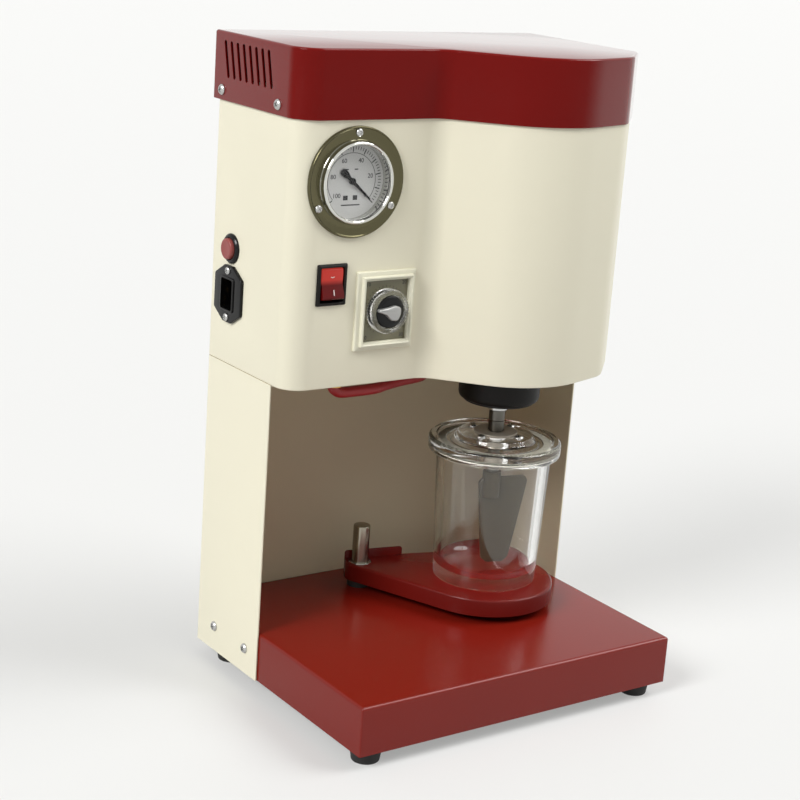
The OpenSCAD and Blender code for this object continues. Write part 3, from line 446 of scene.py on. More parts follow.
# The colour is as on a display, 0 to 255, and is turned to linear light
def material(name, colour, roughness=0.4, spread=0.05, scale=400, tint=0.05, relief=0.02, scuffs=0.0,
             metallic=0.0, spec=0.5):
    m, tree, shader = newMaterial(name)
    linear = [((c / 255 + 0.055) / 1.055) ** 2.4 if c > 10 else c / 255 / 12.92 for c in colour]
    wear = wearNode(tree, {"Color": (*linear, 1), "Scale": scale, "Tint": tint, "Roughness": roughness,
                           "Roughness Spread": spread, "Relief": relief, "Scuffs": scuffs})
    shader["Metallic"].default_value = metallic
    shader["Specular IOR Level"].default_value = spec
    for output, socket in (("Color", "Base Color"), ("Roughness", "Roughness"), ("Normal", "Normal")):
        tree.links.new(wear[output], shader[socket])
    return m


# Paint that mirrors little where it faces the eye and much where it is seen edge on
def glossByFacing(m, least, most, clearCoat):
    tree, shader = m.node_tree, m.node_tree.nodes["Principled BSDF"].inputs
    facing = node(tree, "ShaderNodeLayerWeight", Blend=0.5).outputs["Facing"]
    feed(tree, shader["Specular IOR Level"], ranged(tree, facing, 0.25, 0.5, least, most))
    feed(tree, shader["Coat Weight"], ranged(tree, facing, 0.86, 0.91, 0, clearCoat))
    shader["Coat Roughness"].default_value = 0.08


# Emission on the upper part of a lens, partly the glow of the switch's lamp and partly a painted highlight where
# the key's top faces the light from above: the glow comes in over a short height above the given one
def glowAndHighlightAbove(m, height, over):
    tree, shader = m.node_tree, m.node_tree.nodes["Principled BSDF"].inputs
    where = tree.nodes.new("ShaderNodeTexCoord").outputs["Object"]
    up = node(tree, "ShaderNodeSeparateXYZ", Vector=where).outputs["Z"]
    shader["Emission Color"].default_value = (0.75, 0.06, 0.04, 1)
    feed(tree, shader["Emission Strength"], ranged(tree, up, height, height + over, 0, 0.5))


# Clear material with faint smears in its gloss; unless it has one alpha, its shadow lets the light through
def clearMaterial(name, colour, roughness=0.02, ior=1.47, shadow=0.12, alpha=None):
    m, tree, shader = newMaterial(name)
    shader["Base Color"].default_value = (*colour, 1)
    shader["Transmission Weight"].default_value = 1.0
    shader["IOR"].default_value = ior
    wear = wearNode(tree, {"Roughness": roughness, "Roughness Spread": 0.02, "Relief": 0.0, "Scale": 60})
    feed(tree, shader["Roughness"], wear["Roughness"])
    if alpha is None:
        path = tree.nodes.new("ShaderNodeLightPath")
        alpha = ranged(tree, path.outputs["Is Shadow Ray"], 0, 1, 1, shadow)
    feed(tree, shader["Alpha"], alpha)
    return m


cream = material("cream paint", (233, 228, 206), roughness=0.42, relief=0.05, tint=0.03, spec=0.3)
# A darker copy of the cream paint for the column's inner faces: painted shade in the cavity under the housing
creamPaintedShade = material("cream painted shade", (200, 188, 160), roughness=0.5, relief=0.05, tint=0.06, spec=0.2)
creamPlastic = material("cream plastic", (224, 221, 200), roughness=0.34, tint=0.02)
redPaint = {"spread": 0.06, "scale": 260, "relief": 0.06, "tint": 0.1}
red = material("red paint", (118, 24, 14), roughness=0.2, spec=0.28, **redPaint)
# A darker copy of the red paint for the tray, its hub and its upright edge: painted shade where they sit under
# the jar and the housing
trayRedShaded = material("tray red painted shade", (99, 18, 13), roughness=0.24, spec=0.2, **redPaint)
coverRed = material("cover red", (112, 12, 8), roughness=0.16, scale=260, relief=0.05, tint=0.1)
glossByFacing(coverRed, 0.1, 0.45, 1.0)
redLens = material("red lens", (92, 11, 11), roughness=0.25, spec=0.22, tint=0.08)
redCap = material("red cap", (140, 64, 60), roughness=0.4)
redRubber = material("red rubber", (150, 18, 22), roughness=0.45)
blackPlastic = material("black plastic", (15, 13, 11), roughness=0.5, relief=0.06, spec=0.2)
glossBlack = material("gloss black", (9, 9, 9), roughness=0.2, spec=0.25)
rubber = material("rubber", (24, 23, 22), roughness=0.75, relief=0.1)
paleRubber = material("pale rubber", (205, 203, 192), roughness=0.5)
steel = material("steel", (186, 186, 184), roughness=0.26, metallic=1.0, scuffs=0.05)
darkSteel = material("dark steel", (98, 96, 90), roughness=0.3, metallic=1.0, scuffs=0.05)
bladeSteel = material("blade steel", (62, 54, 38), roughness=0.4, metallic=0.2, tint=0.2, spec=0.25)
postSteel = material("post steel", (150, 144, 130), roughness=0.16, metallic=1.0)
bushSteel = material("bush steel", (150, 142, 130), roughness=0.4, metallic=0.5)
silverPlastic = material("silver plastic", (168, 168, 166), roughness=0.35, metallic=0.6)
chrome = material("chrome", (206, 206, 200), roughness=0.08, metallic=1.0, relief=0.0)
# Chrome given a dark olive colour: a painted dark reflection on the gauge's flange, standing in for what the
# polished chrome mirrors
chromeDarkReflection = material("chrome painted dark reflection", (92, 88, 66), roughness=0.16, metallic=1.0, relief=0.01, tint=0.12)
brass = material("brass", (206, 166, 96), roughness=0.25, metallic=1.0)
alloy = material("alloy", (170, 171, 172), roughness=0.5, metallic=1.0, relief=0.2)
motorPaint = material("motor paint", (66, 70, 74), roughness=0.5)
winding = material("winding", (140, 84, 46), roughness=0.4)
whitePrint = material("dial white", (176, 176, 174), roughness=0.4, tint=0.03)
darkPrint = material("dial print", (34, 34, 34), roughness=0.5)
palePrint = material("pale print", (214, 200, 196), roughness=0.5)
dialPlate = material("timer dial", (112, 108, 84), roughness=0.3, tint=0.08)
glass = clearMaterial("jar glass", (0.97, 0.975, 0.965))
glassFoot = clearMaterial("jar foot", (0.97, 0.975, 0.965), alpha=0.1)  # the foot seems to melt into the tray
lidClear = clearMaterial("lid clear", (0.95, 0.95, 0.93), ior=1.49)
gaugeGlass = clearMaterial("gauge glass", (0.98, 0.98, 0.98), ior=1.2)
ringClear = clearMaterial("clear ring", (0.93, 0.93, 0.9), roughness=0.2, ior=1.45, shadow=0.1)

slotMaterials = {"cream_paint": cream, "red_paint": red, "black_plastic": blackPlastic,
                 "black_gloss": glossBlack, "rubber": rubber, "steel": steel, "chrome": chrome,
                 "brass": brass, "clear": glass,
                 "white_print": whitePrint, "cream_plastic": creamPlastic, "red_lens": redLens,
                 "red_rubber": redRubber, "pale_rubber": paleRubber, "alloy": alloy, "motor_paint": motorPaint,
                 "winding": winding}
for part in frame["record"]["subparts"]:
    mesh = frame["nodes"][part["node"]].data
    mesh.materials.clear()
    mesh.materials.append(slotMaterials[part["material_slot"]])
print("materials ready")


base = {"half": 146.8, "front": -122, "back": 116.3, "bottom": 12, "top": 50.5, "corner": 1.4, "bend": 2.6}


# A box open below: one outline, down inside the sheet, up outside it and over the top edge
def buildBase(b):
    w, y0, y1 = b["half"], b["front"], b["back"]
    corners = [[-w, y0], [w, y0], [w, y1], [-w, y1]]
    outline = lambda g: rounded(corners, [b["corner"]] * 4, g, 12)
    s = body["sheet"]
    steps = [(-s, b["top"] - s), (-s, b["bottom"]), (0, b["bottom"])] + topEdge(b["bend"], b["top"], 6)
    place("basePan", stack("basePan", ringsOf(outline, steps)), red, "stand", ["base_pan"])
    print("base built")


foot = {"x": 129.8, "front": -105, "back": 92.5, "radius": 12, "height": 12, "hollow": 5.6, "bore": 2.7}


def buildFeet(f):
    r, h, q, s = f["radius"], f["height"], f["hollow"], f["bore"]
    profile = [(q, 0), (r - 1.5, 0, 1.0), (r, h - 2, 0.6), (r, h, 0.3), (s, h), (s, h / 2), (q, h / 2)]
    mesh = lathe("foot", profile, 48, loop=True)
    spots = [move(x, y, 0) for x in (-f["x"], f["x"]) for y in (f["front"], f["back"])]
    place("feet", joined("feet", [mesh] * 4, spots), rubber, "stand", ["feet"])
    print("feet built")


column = {"lip": 16, "lipGap": 0.5, "edge": 0.5, "bend": 3}


# A sheet bent to a U in plan, pushed up to the housing's floor, with a lip under the floor on each side
def buildColumn(b, c):
    w, s, y0, y1, e = b["halfWidth"], b["sheet"], b["setback"], b["depth"], c["edge"]
    plan = [[-w, y0], [-w + s, y0], [-w + s, y1 - s], [w - s, y1 - s], [w - s, y0], [w, y0], [w, y1], [-w, y1]]
    outline = rounded(plan, [e, e, -s, -s, e, e, c["bend"], c["bend"]], 0, 15)
    shell = stack("column", [ringAt(outline, b["foot"]), ringAt(outline, b["floor"])])
    # The faces inside the U take the darker cream as painted shade; the outside keeps the plain cream
    centres = np.zeros(len(shell.polygons) * 3)
    shell.polygons.foreach_get("center", centres)
    inside = (np.abs(centres[0::3]) < w - 0.6 * s) & (centres[1::3] < y1 - 0.6 * s)
    shell.polygons.foreach_set("material_index", inside.astype(np.int32))
    spots = [rectangle(c["lip"], y1 - y0 - 2, side * (w - s - c["lip"] / 2 + c["lipGap"]), (y0 + y1) / 2)
             for side in (-1, 1)]
    lips = [slab("lip", spot, [e] * 4, b["floor"] - s, b["floor"] - 0.02) for spot in spots]
    mesh = joined("column", [shell] + lips)
    place("column", mesh, [cream, creamPaintedShade], "stand", ["column_shell"])
    print("column built")


gauge = {"centre": (-99.5, 404.5), "radius": 41, "glass": 27, "hole": 31.3, "pcd": 36.15, "dial": 29.8,
         "screwAngles": (90, 210, 330), "dialDepth": 5, "needleAngle": -41, "sweep": 262, "tickOuter": 25.2,
         "marks": 51, "figures": 6, "figureSize": 4.6, "figureRadius": 16.2, "print": 0.08}
rocker = {"centre": (-115, 329.5), "width": 25.5, "height": 31, "slot": (19, 26), "hole": (22.2, 28.6),
          "pivot": -4, "tilt": 10, "key": (18.4, 23), "markSlope": 8, "glowFrom": 0.3295, "glowOver": 0.004}
timer = {"centre": (-67, 307.5), "inset": (38.5, 46.5), "hole": 44.6, "case": 43, "ring": 17, "knob": 12.4,
         "knurls": 48, "knurlDepth": 0.45, "stem": 3, "ticks": (17.6, 19.0), "figureSize": 4.0,
         "pointerTurn": -10}
button = {"y": 88, "z": 340.5, "bezel": 11.5, "cap": 8, "out": 5.5, "hole": 9.7, "stem": 2.5}
inlet = {"y": 88, "z": 305.5, "size": (40, 44), "cut": (14, 8.5), "out": 2.5, "ear": 18, "body": (20, 27),
         "well": (16.5, 23.5), "pins": ((0, -7), (0, 7), (-4, 0)), "screwTurn": 28.65}
housing = {"lap": 11.5, "bend": 1.2, "reach": 8, "inletGap": 0.6}


# The outline in a closed loop of rings: down inside the sheet, round the bottom edge and up outside
def buildHousing(b, h):
    s, z0, z1, reach = b["sheet"], b["floor"], b["top"] + h["lap"], h["reach"]
    steps = [(-s, z1), (-s, z0)] + bottomEdge(h["bend"], z0, 3) + [(0, z1)]
    shell = stack("housing", ringsOf(bodyOutline, steps), loop=True)
    plug = lambda r: rod("hole", r, -reach, reach)
    pocket = lambda width, height: slab("hole", rectangle(width, height), [0.3] * 4, -reach, reach)
    inletHole = [size + h["inletGap"] for size in inlet["body"]]
    holes = [moved(plug(gauge["hole"]), onFront(gauge["centre"])),
             moved(pocket(*rocker["hole"]), onFront(rocker["centre"])),
             moved(pocket(timer["hole"], timer["hole"]), onFront(timer["centre"])),
             moved(plug(button["hole"]), onSide(-1, button["y"], button["z"])),
             moved(pocket(*inletHole), onSide(-1, inlet["y"], inlet["z"]))]
    place("housing", cut(shell, holes), cream, "stand", ["housing_shell"], smooth=28)
    print("housing built")


cover = {"bottom": 449.5, "top": 500, "back": 122.5, "gap": 0.3, "sheet": 1.2, "round": 2.0, "slots": 8,
         "pitch": 8.9, "firstSlot": 42.5, "slotZ": 480, "slot": (3.6, 28), "slotEnd": 1.7, "lean": 14}


# The housing's outline grown by the gap and the sheet, over the top edge; the vents are leaning slots
def buildCover(c):
    out, inner = c["gap"] + c["sheet"], c["gap"]
    steps = [(inner, c["top"] - c["sheet"]), (inner, c["bottom"]), (out, c["bottom"])]
    steps += [(out + g, z) for g, z in topEdge(c["round"], c["top"], 6)]
    shell = stack("cover", ringsOf(lambda g: bodyOutline(g, c["back"]), steps))
    slots = [moved(slab("slot", rectangle(*c["slot"]), [c["slotEnd"]] * 4, -6, 6),
                   onSide(-1, c["firstSlot"] + k * c["pitch"], c["slotZ"]) @ spun(c["lean"]))
             for k in range(c["slots"])]
    place("cover", cut(shell, slots), coverRed, "stand", ["top_cover"], smooth=28)
    print("cover built")


tray = {"bottom": 57, "top": 71, "sheet": 1.5, "round": 1.8, "turn": -12.5, "post": (-18.5, 79), "radius": 57,
        "plate": (-10.6, 40.7, 8.7), "hub": 12.5, "bush": 9.5, "edgeUp": 7, "edgeCorner": 2.5}
post = {"radius": 7, "bottom": 35, "top": 103, "gap": 0.05, "chamfer": 1.4}


# The convex outline round the jar's seat, the hub and the plate's corners, over the top edge
def buildTray(t, p):
    turn = math.radians(t["turn"])
    dx, dy = bulge["centre"][0] - t["post"][0], bulge["centre"][1] - t["post"][1]
    seat = (dx * math.cos(turn) + dy * math.sin(turn), -dx * math.sin(turn) + dy * math.cos(turn), t["radius"])
    x0, x1, y1 = t["plate"]
    r, s, low, high = t["round"], t["sheet"], t["bottom"], t["top"]
    corners = [(x, y, r) for x in (x0 + r, x1 - r) for y in (r - 4, y1 - r)]
    outline = lambda g: aroundCircles([seat, (0, 0, t["hub"])] + corners, g)
    pan = stack("tray", ringsOf(outline, [(-s, high - s), (-s, low), (0, low)] + topEdge(r, high, 5)))
    hub = sleeve("hub", t["bush"], t["hub"] - 1, low, high - 1, 48)
    height = high - low + t["edgeUp"]
    c = t["edgeCorner"]
    edge = slab("edge", rectangle(x1 - x0, height), [0.4, 0.4, c, c], -s / 2, s / 2, 0.4, 0.4, 2)
    edge = moved(edge, move((x0 + x1) / 2, y1 - s / 2, low + height / 2) @ spun(90, "X"))
    at = move(*t["post"], 0)
    mesh = joined("tray", [cut(pan, [rod("hole", t["bush"], high - 4, high + 4, 48)]), hub, edge])
    # The tray takes the darker red, which is painted shade
    place("tray", mesh, trayRedShaded, "tray", ["tray_pan"], matrix=at @ spun(t["turn"]))
    bore, q = p["radius"] + p["gap"], t["bush"]
    profile = [(bore, low - 0.2), (q, low - 0.2, 0.3), (q, high + 0.3, 0.3), (bore, high + 0.3)]
    bush = lathe("bush", profile, loop=True)
    place("trayBush", bush, steel, "tray", ["tray_bush"], matrix=at)
    q = p["radius"]
    upright = lathe("post", [(0, p["bottom"]), (q, p["bottom"]), (q, p["top"], p["chamfer"]), (0, p["top"])])
    place("post", upright, postSteel, "stand", ["tray_post"], matrix=at)
    print("tray and post built")


jar = {"bottom": 71.5, "top": 180, "foot": 84, "mouth": 93, "wall": 6, "base": 8, "well": 12,
       "footHollow": 1.6}
lid = {"bottom": 181.5, "thickness": 9, "diameter": 107, "boss": 31, "bossUp": 3.5, "bush": 8.5,
       "flange": 17.5, "pcd": 22, "screwAngles": (20, 110, 200, 290), "shaft": 5.05}


# Profiles turned about the jar's axis; inside, a quarter circle joins the wall to the bottom
def buildJar(j, l):
    at = move(*bulge["centre"], 0)
    foot, mouth = j["foot"] / 2, j["mouth"] / 2
    z0, z1, w, deep = j["bottom"], j["top"], j["wall"], j["well"]
    wellZ, hollow = z0 + j["base"], z0 + j["footHollow"]
    inside = lambda z: foot - w + (mouth - foot) * (z - z0) / (z1 - z0)
    side = inside(wellZ + deep)
    outer = softProfile([(0, hollow), (foot - 8, hollow, 0.8), (foot - 6, z0, 0.8), (foot - 1.2, z0, 1.0),
                         (foot, z0 + 1.8, 1.0), (mouth - 0.1, z1 - 2, 0.5), (mouth - 1, z1, 0.7),
                         (mouth - w + 0.6, z1, 0.7), (mouth - w, z1 - 2, 0.7), (side, wellZ + deep)])
    a = np.linspace(0.1, math.pi / 2, 10)
    well = np.stack([side - deep + deep * np.cos(a), wellZ + deep - deep * np.sin(a)], axis=-1)
    profile = np.concatenate([outer, well, [(0, wellZ - 0.6)]])
    underneath = (profile[:-1, 1] < hollow + 0.1) & (profile[1:, 1] < hollow + 0.1)
    mesh = lathe("jar", profile, 128, slots=underneath.astype(int))
    place("jar", mesh, [glass, glassFoot], "jar", ["jar"], smooth=40, matrix=at)
    r, b0, q, b = l["diameter"] / 2, l["bottom"], l["boss"], l["bush"]
    top = b0 + l["thickness"]
    bossTop, spigot = top + l["bossUp"], mouth - w - 1.2
    profile = [(b, b0 - 3), (spigot - 4, b0 - 3, 0.5), (spigot - 3.5, b0 - 6, 0.5), (spigot, b0 - 6, 0.5),
               (spigot, b0, 0.3), (mouth + 1, b0, 0.3), (mouth + 1, b0 - 2.5, 0.3), (r - 0.6, b0 - 2.5, 0.8),
               (r, b0 - 1, 0.8), (r, top - 1.6, 1.2), (r - 2, top, 1.2), (r - 6, top, 0.5), (r - 7, top - 1, 0.5),
               (q + 2.2, top - 1, 0.6), (q + 0.4, top + 0.6, 0.6), (q - 0.8, bossTop, 1.0), (b, bossTop)]
    mesh = lathe("lid", profile, 128, loop=True)
    place("lid", mesh, lidClear, "jar", ["jar_lid"], smooth=40, matrix=at)
    f, s, rimTop = l["flange"], l["shaft"], bossTop + 1.8
    bush = lathe("bush", [(s, b0 - 8), (b, b0 - 8, 0.5), (b, bossTop), (f, bossTop), (f, rimTop, 0.6),
                          (s + 2, rimTop, 0.4), (s, bossTop + 1.2)], loop=True)
    place("lidBush", bush, bushSteel, "jar", ["lid_bush"], matrix=at)
    outside = mouth - 0.2
    profile = [(mouth - w - 1, z1), (outside, z1, 0.4), (outside, b0, 0.4), (mouth - w - 1, b0)]
    gasket = lathe("gasket", profile, 96, loop=True)
    place("lidGasket", gasket, paleRubber, "jar", ["lid_gasket"], matrix=at)
    spots = [at @ spun(a) @ move(l["pcd"], 0, bossTop) for a in l["screwAngles"]]
    place("lidScrews", joined("screws", [panScrew(4, 6)] * 4, spots), steel, "jar", ["lid_screws"])
    print("jar and lid built")


# A pan head with a cross in it, on a short plain shank; the head's sizes are shares of the thread's size
def panScrew(d, length):
    profile = softProfile([(0, -length), (d / 2, -length, 0.2), (d / 2, 0), (d, 0, 0.1), (d, 0.22 * d, 0.3),
                           (0.72 * d, 0.55 * d, 0.5), (0, 0.62 * d)], 3)
    long, wide = 1.15 * d, 0.22 * d
    arms = [slab("arm", rectangle(*size), [0.1] * 4, 0.3 * d, d) for size in ((long, wide), (wide, long))]
    return cut(lathe("screw", profile, 40), arms)


sideScrews = {"size": 4, "length": 7, "turns": (20, 65, 40, 5), "columnZ": 32.5, "columnY": (89, 41),
              "coverZ": 457, "coverY": (110, 29), "coverOut": 1.5}


def buildScrews(s):
    rows = (("columnScrews", s["columnZ"], s["columnY"], 0, "column_screws"),
            ("coverScrews", s["coverZ"], s["coverY"], s["coverOut"], "cover_screws"))
    for name, height, ys, out, replaced in rows:
        sites = [(side, y) for side in (-1, 1) for y in ys]
        spots = [onSide(side, y, height, out) @ spun(turn) for (side, y), turn in zip(sites, s["turns"])]
        mesh = joined(name, [panScrew(s["size"], s["length"])] * 4, spots)
        place(name, mesh, steel, "stand", [replaced])
    print("side screws built")


# Profiles turned about the gauge's axis, and marks along angles that share out the sweep equally
def buildGauge(g):
    at = onFront(g["centre"])
    r, q, deep, turn = g["radius"], g["glass"], g["dialDepth"], spun(g["needleAngle"])
    rim = [(q + 0.2, -deep), (q + 0.2, 3.4, 0.2), (q + 0.7, 5.8, 0.6), (q + 1.9, 6.6, 0.9), (q + 3.1, 5.8, 0.9),
           (q + 3.7, 2.6, 0.6), (q + 4.2, 1.6)]
    dish = [(q + 4.2, 1.6), (r - 2.2, 1.9), (r - 1.6, 2.2)]
    edge = [(r - 1.6, 2.2), (r - 1.2, 2.7, 0.2), (r - 0.5, 2.7, 0.4), (r, 1.6, 0.5), (r - 0.2, 0), (q + 0.2, 0)]
    rows = [softProfile(p) for p in (rim, dish, edge)]
    # The rim round the glass keeps the bright chrome; the dish and the outer edge take the darker chrome, which
    # is a painted dark reflection
    slots = np.repeat([0, 1, 1], [len(row) - 1 for row in rows])
    flange = lathe("flange", np.concatenate([rows[0], rows[1][1:], rows[2][1:]]), 128, slots=slots)
    metals = [chrome, chromeDarkReflection]
    place("gaugeFlange", flange, metals, "stand", ["gauge_flange"], smooth=50, matrix=at)
    pane = lathe("pane", [(0, 2.6), (q, 2.6), (q, 3.9, 0.3), (0, 4.3)], 96)
    place("gaugeGlass", pane, gaugeGlass, "stand", ["gauge_glass"], matrix=at)
    disc = sleeve("dial", 1.5, g["dial"], -deep - 0.5, -deep, 96)
    place("gaugeDial", disc, whitePrint, "stand", ["gauge_dial"], matrix=at)
    angles = np.radians(g["needleAngle"] + np.linspace(0, g["sweep"], g["marks"]))
    way = np.stack([np.cos(angles), np.sin(angles)], axis=-1)
    out, z, inkTop = g["tickOuter"], -deep, -deep + g["print"]
    long = np.arange(g["marks"]) % 5 == 0
    marks = [bars("ticks", way[chosen] * (out - length), way[chosen] * out, width, z, inkTop)
             for chosen, length, width in ((long, 4.2, 0.8), (~long, 2.4, 0.5))]
    marks.append(bars("arc", way[:-1] * (out - 4.8), way[1:] * (out - 4.8), 0.4, z, inkTop))
    for k in range(g["figures"]):
        a = math.radians(g["needleAngle"] + g["sweep"] * k / (g["figures"] - 1))
        x, y = g["figureRadius"] * math.cos(a), g["figureRadius"] * math.sin(a)
        marks.append(numeral(str(20 * k), g["figureSize"], x, y, z))
    starts, ends = [(-8, -17.5), (-6, 8.4), (2, 8.4)], [(8, -17.5), (-3, 8.4), (5, 8.4)]
    marks.append(bars("unit", starts, ends, 0.9, z, inkTop))
    marks.append(bars("unit", [(-6.5, -12.2), (1.8, -12.2)], [(-2.6, -12.2), (5.6, -12.2)], 3.4, z, inkTop))
    place("gaugeMarks", joined("marks", marks), darkPrint, "stand", matrix=at)
    wall = sleeve("wall", q + 0.9, q + 0.2, -deep, 2.4, 96)
    place("gaugeWall", wall, chrome, "stand", matrix=at)
    outline = [(-12.5, -2.6), (-7.5, -2.6), (-4, -1.3), (21, -0.6), (21, 0.6), (-4, 1.3), (-7.5, 2.6),
               (-12.5, 2.6)]
    hand = slab("hand", outline, [2.2, 2.2, 1, 0.3, 0.3, 1, 2.2, 2.2], z + 1.2, z + 1.7)
    hub = lathe("hub", [(0, z + 0.3), (2.4, z + 0.3), (2.4, z + 2.6, 0.5), (0, z + 2.8)], 32)
    mesh = joined("needle", [hand, hub], [turn] * 2)
    place("gaugeNeedle", mesh, glossBlack, "needle", ["gauge_needle"], matrix=at)
    spots = [at @ spun(a) @ move(g["pcd"], 0, 1.8) for a in g["screwAngles"]]
    place("gaugeScrews", joined("screws", [panScrew(3, 6)] * 3, spots), steel, "stand", ["gauge_screws"])
    print("gauge built")


# A frame round the slot, and a key whose side outline is two slopes that meet in a flat valley
def buildRocker(k):
    at = onFront(k["centre"])
    sw, sh = k["slot"]
    side = min(k["width"] - sw, k["height"] - sh) / 2
    profile = [(0, -14), (0, 1.9), (0.4, 2.3), (side - 1.0, 2.2), (side - 0.3, 1.6), (side, 0.8), (side, 0.0),
               (1.2, 0.0), (1.2, -14)]
    stretch = Matrix.Diagonal((k["width"] / (sw + 2 * side), k["height"] / (sh + 2 * side), 1, 1))
    bezel = moved(framed("bezel", rectangle(sw, sh), [0.8] * 4, profile), stretch)
    case = framed("case", rectangle(sw, sh), [0.5] * 4, [(0.6, -24), (0.6, -1), (1.0, -1), (1.0, -24)])
    floor = slab("floor", rectangle(sw + 1.4, sh + 1.4), [0.5] * 4, -16, -15)
    mesh = joined("frame", [bezel, case, floor])
    place("rockerFrame", mesh, blackPlastic, "stand", ["rocker_frame"], matrix=at)
    kw, kh = k["key"]
    y = np.array([-0.5, -0.46, -0.3, 0.0, 0.05, 0.3, 0.46, 0.5]) * kh
    z = np.array([6.2, 7.3, 6.9, 5.6, 5.7, 7.0, 7.3, 6.2])
    outline = np.concatenate([np.stack([y, z], -1), [(kh / 2, 2), (6, -5), (-6, -5), (-kh / 2, 2)]])
    key = stack("key", [np.column_stack([np.full(len(outline), x), outline]) for x in (-kw / 2, kw / 2)])
    rest = at @ move(0, 0, k["pivot"]) @ spun(-k["tilt"], "X")
    # The top of the key glows: partly the lamp of the lit switch, partly a painted highlight
    glowAndHighlightAbove(redLens, k["glowFrom"], k["glowOver"])
    place("rockerKey", bevelled(key, 0.5, 2, 40), redLens, "rocker", ["rocker_key"], matrix=rest)
    line, ring = bars("mark", [(0, -8.6)], [(0, -4.4)], 0.8, 0, 0.1), sleeve("mark", 1.6, 2.3, 0, 0.1, 32)
    slope = k["markSlope"]
    spots = [move(0, 0, 6.65) @ spun(-slope, "X"), move(0, 6.6, 6.72) @ spun(slope, "X")]
    marks = joined("marks", [line, ring], spots)
    place("rockerMarks", marks, palePrint, "rocker", matrix=rest)
    print("rocker built")


# A stepped frame round the dial; the clear ring's outer wall waves in and out, once for each knurl
def buildTimer(t):
    at = onFront(t["centre"])
    w, h = t["inset"]
    steps = [(0, 1.0), (0, 3.9), (0.5, 4.6), (1.2, 4.8), (1.6, 5.6), (2.2, 6.0), (2.9, 5.8), (3.2, 5.0),
             (3.4, 3.0), (5.4, 2.7), (6.2, 2.5), (6.7, 1.8), (6.75, 0.0), (1.5, 0.0), (1.5, 1.0)]
    square = rectangle(t["case"], t["case"])
    case = framed("case", square, [1] * 4, [(0, -20), (0, 0.5), (0.4, 0.5), (0.4, -20)])
    mesh = joined("frame", [framed("bezel", rectangle(w, h), [0.6] * 4, steps), case])
    place("timerFrame", mesh, creamPlastic, "stand", ["timer_frame"], smooth=30, matrix=at)
    plate = slab("plate", rectangle(w - 0.2, h - 0.2), [0.4] * 4, 1.0, 1.8)
    plate = cut(plate, [rod("hole", t["stem"] + 0.4, -1, 4, 32)])
    place("timerDial", plate, dialPlate, "stand", ["timer_dial"], matrix=at)
    a = np.radians(np.linspace(-150, 150, 31) + 90)
    way = np.stack([np.cos(a), np.sin(a)], axis=-1)
    marks = [bars("ticks", way * t["ticks"][0], way * t["ticks"][1], 0.35, 1.8, 1.86)]
    x, y = w / 2 - 3.2, h / 2 - 3
    for text, spot in zip(("0", "10", "20", "30"), ((-x, -y), (-x, y), (x, y), (x, -y))):
        marks.append(numeral(text, t["figureSize"], *spot, 1.8))
    place("timerMarks", joined("marks", marks), darkPrint, "stand", matrix=at)
    n, r, k, s = t["knurls"] * 6, t["ring"], t["knob"], t["stem"]
    angle = np.arange(n) * 2 * math.pi / n
    wave = t["knurlDepth"] * np.cos(angle * t["knurls"])
    profile = softProfile([(s, 2.2), (r - 0.4, 2.2, 0.3), (r - 0.2, 9.2, 0.8), (r - 1.6, 10, 0.4),
                           (k + 0.7, 10, 0.3), (k + 0.4, 3.6), (s, 3.6)], 3)
    weight = np.clip((profile[:, 0] - r + 1.2) / 0.8, 0, 1) * (profile[:, 1] < 9.7)
    radius = profile[:, :1] + weight[:, None] * wave
    grid = np.stack([radius * np.cos(angle), radius * np.sin(angle), profile[:, 1:] + 0 * angle], axis=-1)
    ring = tidyMesh(meshFrom("ring", grid, gridFaces(len(profile), n, True)))
    place("timerRing", ring, ringClear, "timer", ["timer_ring"], smooth=50, matrix=at)
    profile = [(0, -11), (s, -11), (s, 3.6), (k, 3.6, 0.2), (k, 9.4, 1.2), (k - 3, 10.2, 0.6), (0, 10.2)]
    knob = lathe("knob", profile, 96)
    place("timerKnob", knob, glossBlack, "timer", ["timer_knob"], matrix=at)
    outline = [(-12.2, -1.0), (-4, -2.6), (0.5, -6.0), (6.2, -5.6), (7.6, 0), (6.6, 5.2), (1.0, 5.6), (-4, 3.4),
               (-12.2, 1.0)]
    handle = slab("handle", outline, [0.8, 2, 2, 3, 5, 3, 2, 2, 0.8], 9.8, 13.2, 1.2, 0.0, 4, 20)
    place("timerPointer", handle, silverPlastic, "timer", matrix=at @ spun(t["pointerTurn"]))
    print("timer built")


def buildButton(b):
    at = onSide(-1, b["y"], b["z"])
    r, c, out = b["bezel"], b["cap"], b["out"]
    bezel = lathe("bezel", [(c + 0.1, -14), (c + 0.1, 2.2, 0.4), (c + 0.7, 2.9, 0.3), (r - 1.6, 2.8, 0.8),
                            (r, 1.2, 0.5), (r, 0), (c + 1.5, 0), (c + 1.5, -14)], loop=True)
    place("buttonBezel", bezel, glossBlack, "stand", ["button_bezel"], matrix=at)
    cap = lathe("cap", [(0, -6), (c, -6), (c, out, 1.4), (c - 2, out + 0.1, 0.5), (0, out - 0.5)])
    stem = rod("stem", b["stem"], -22, -5.5, 24)
    place("buttonCap", joined("cap", [cap, stem]), redCap, "button", ["button_cap"], matrix=at)
    print("button built")


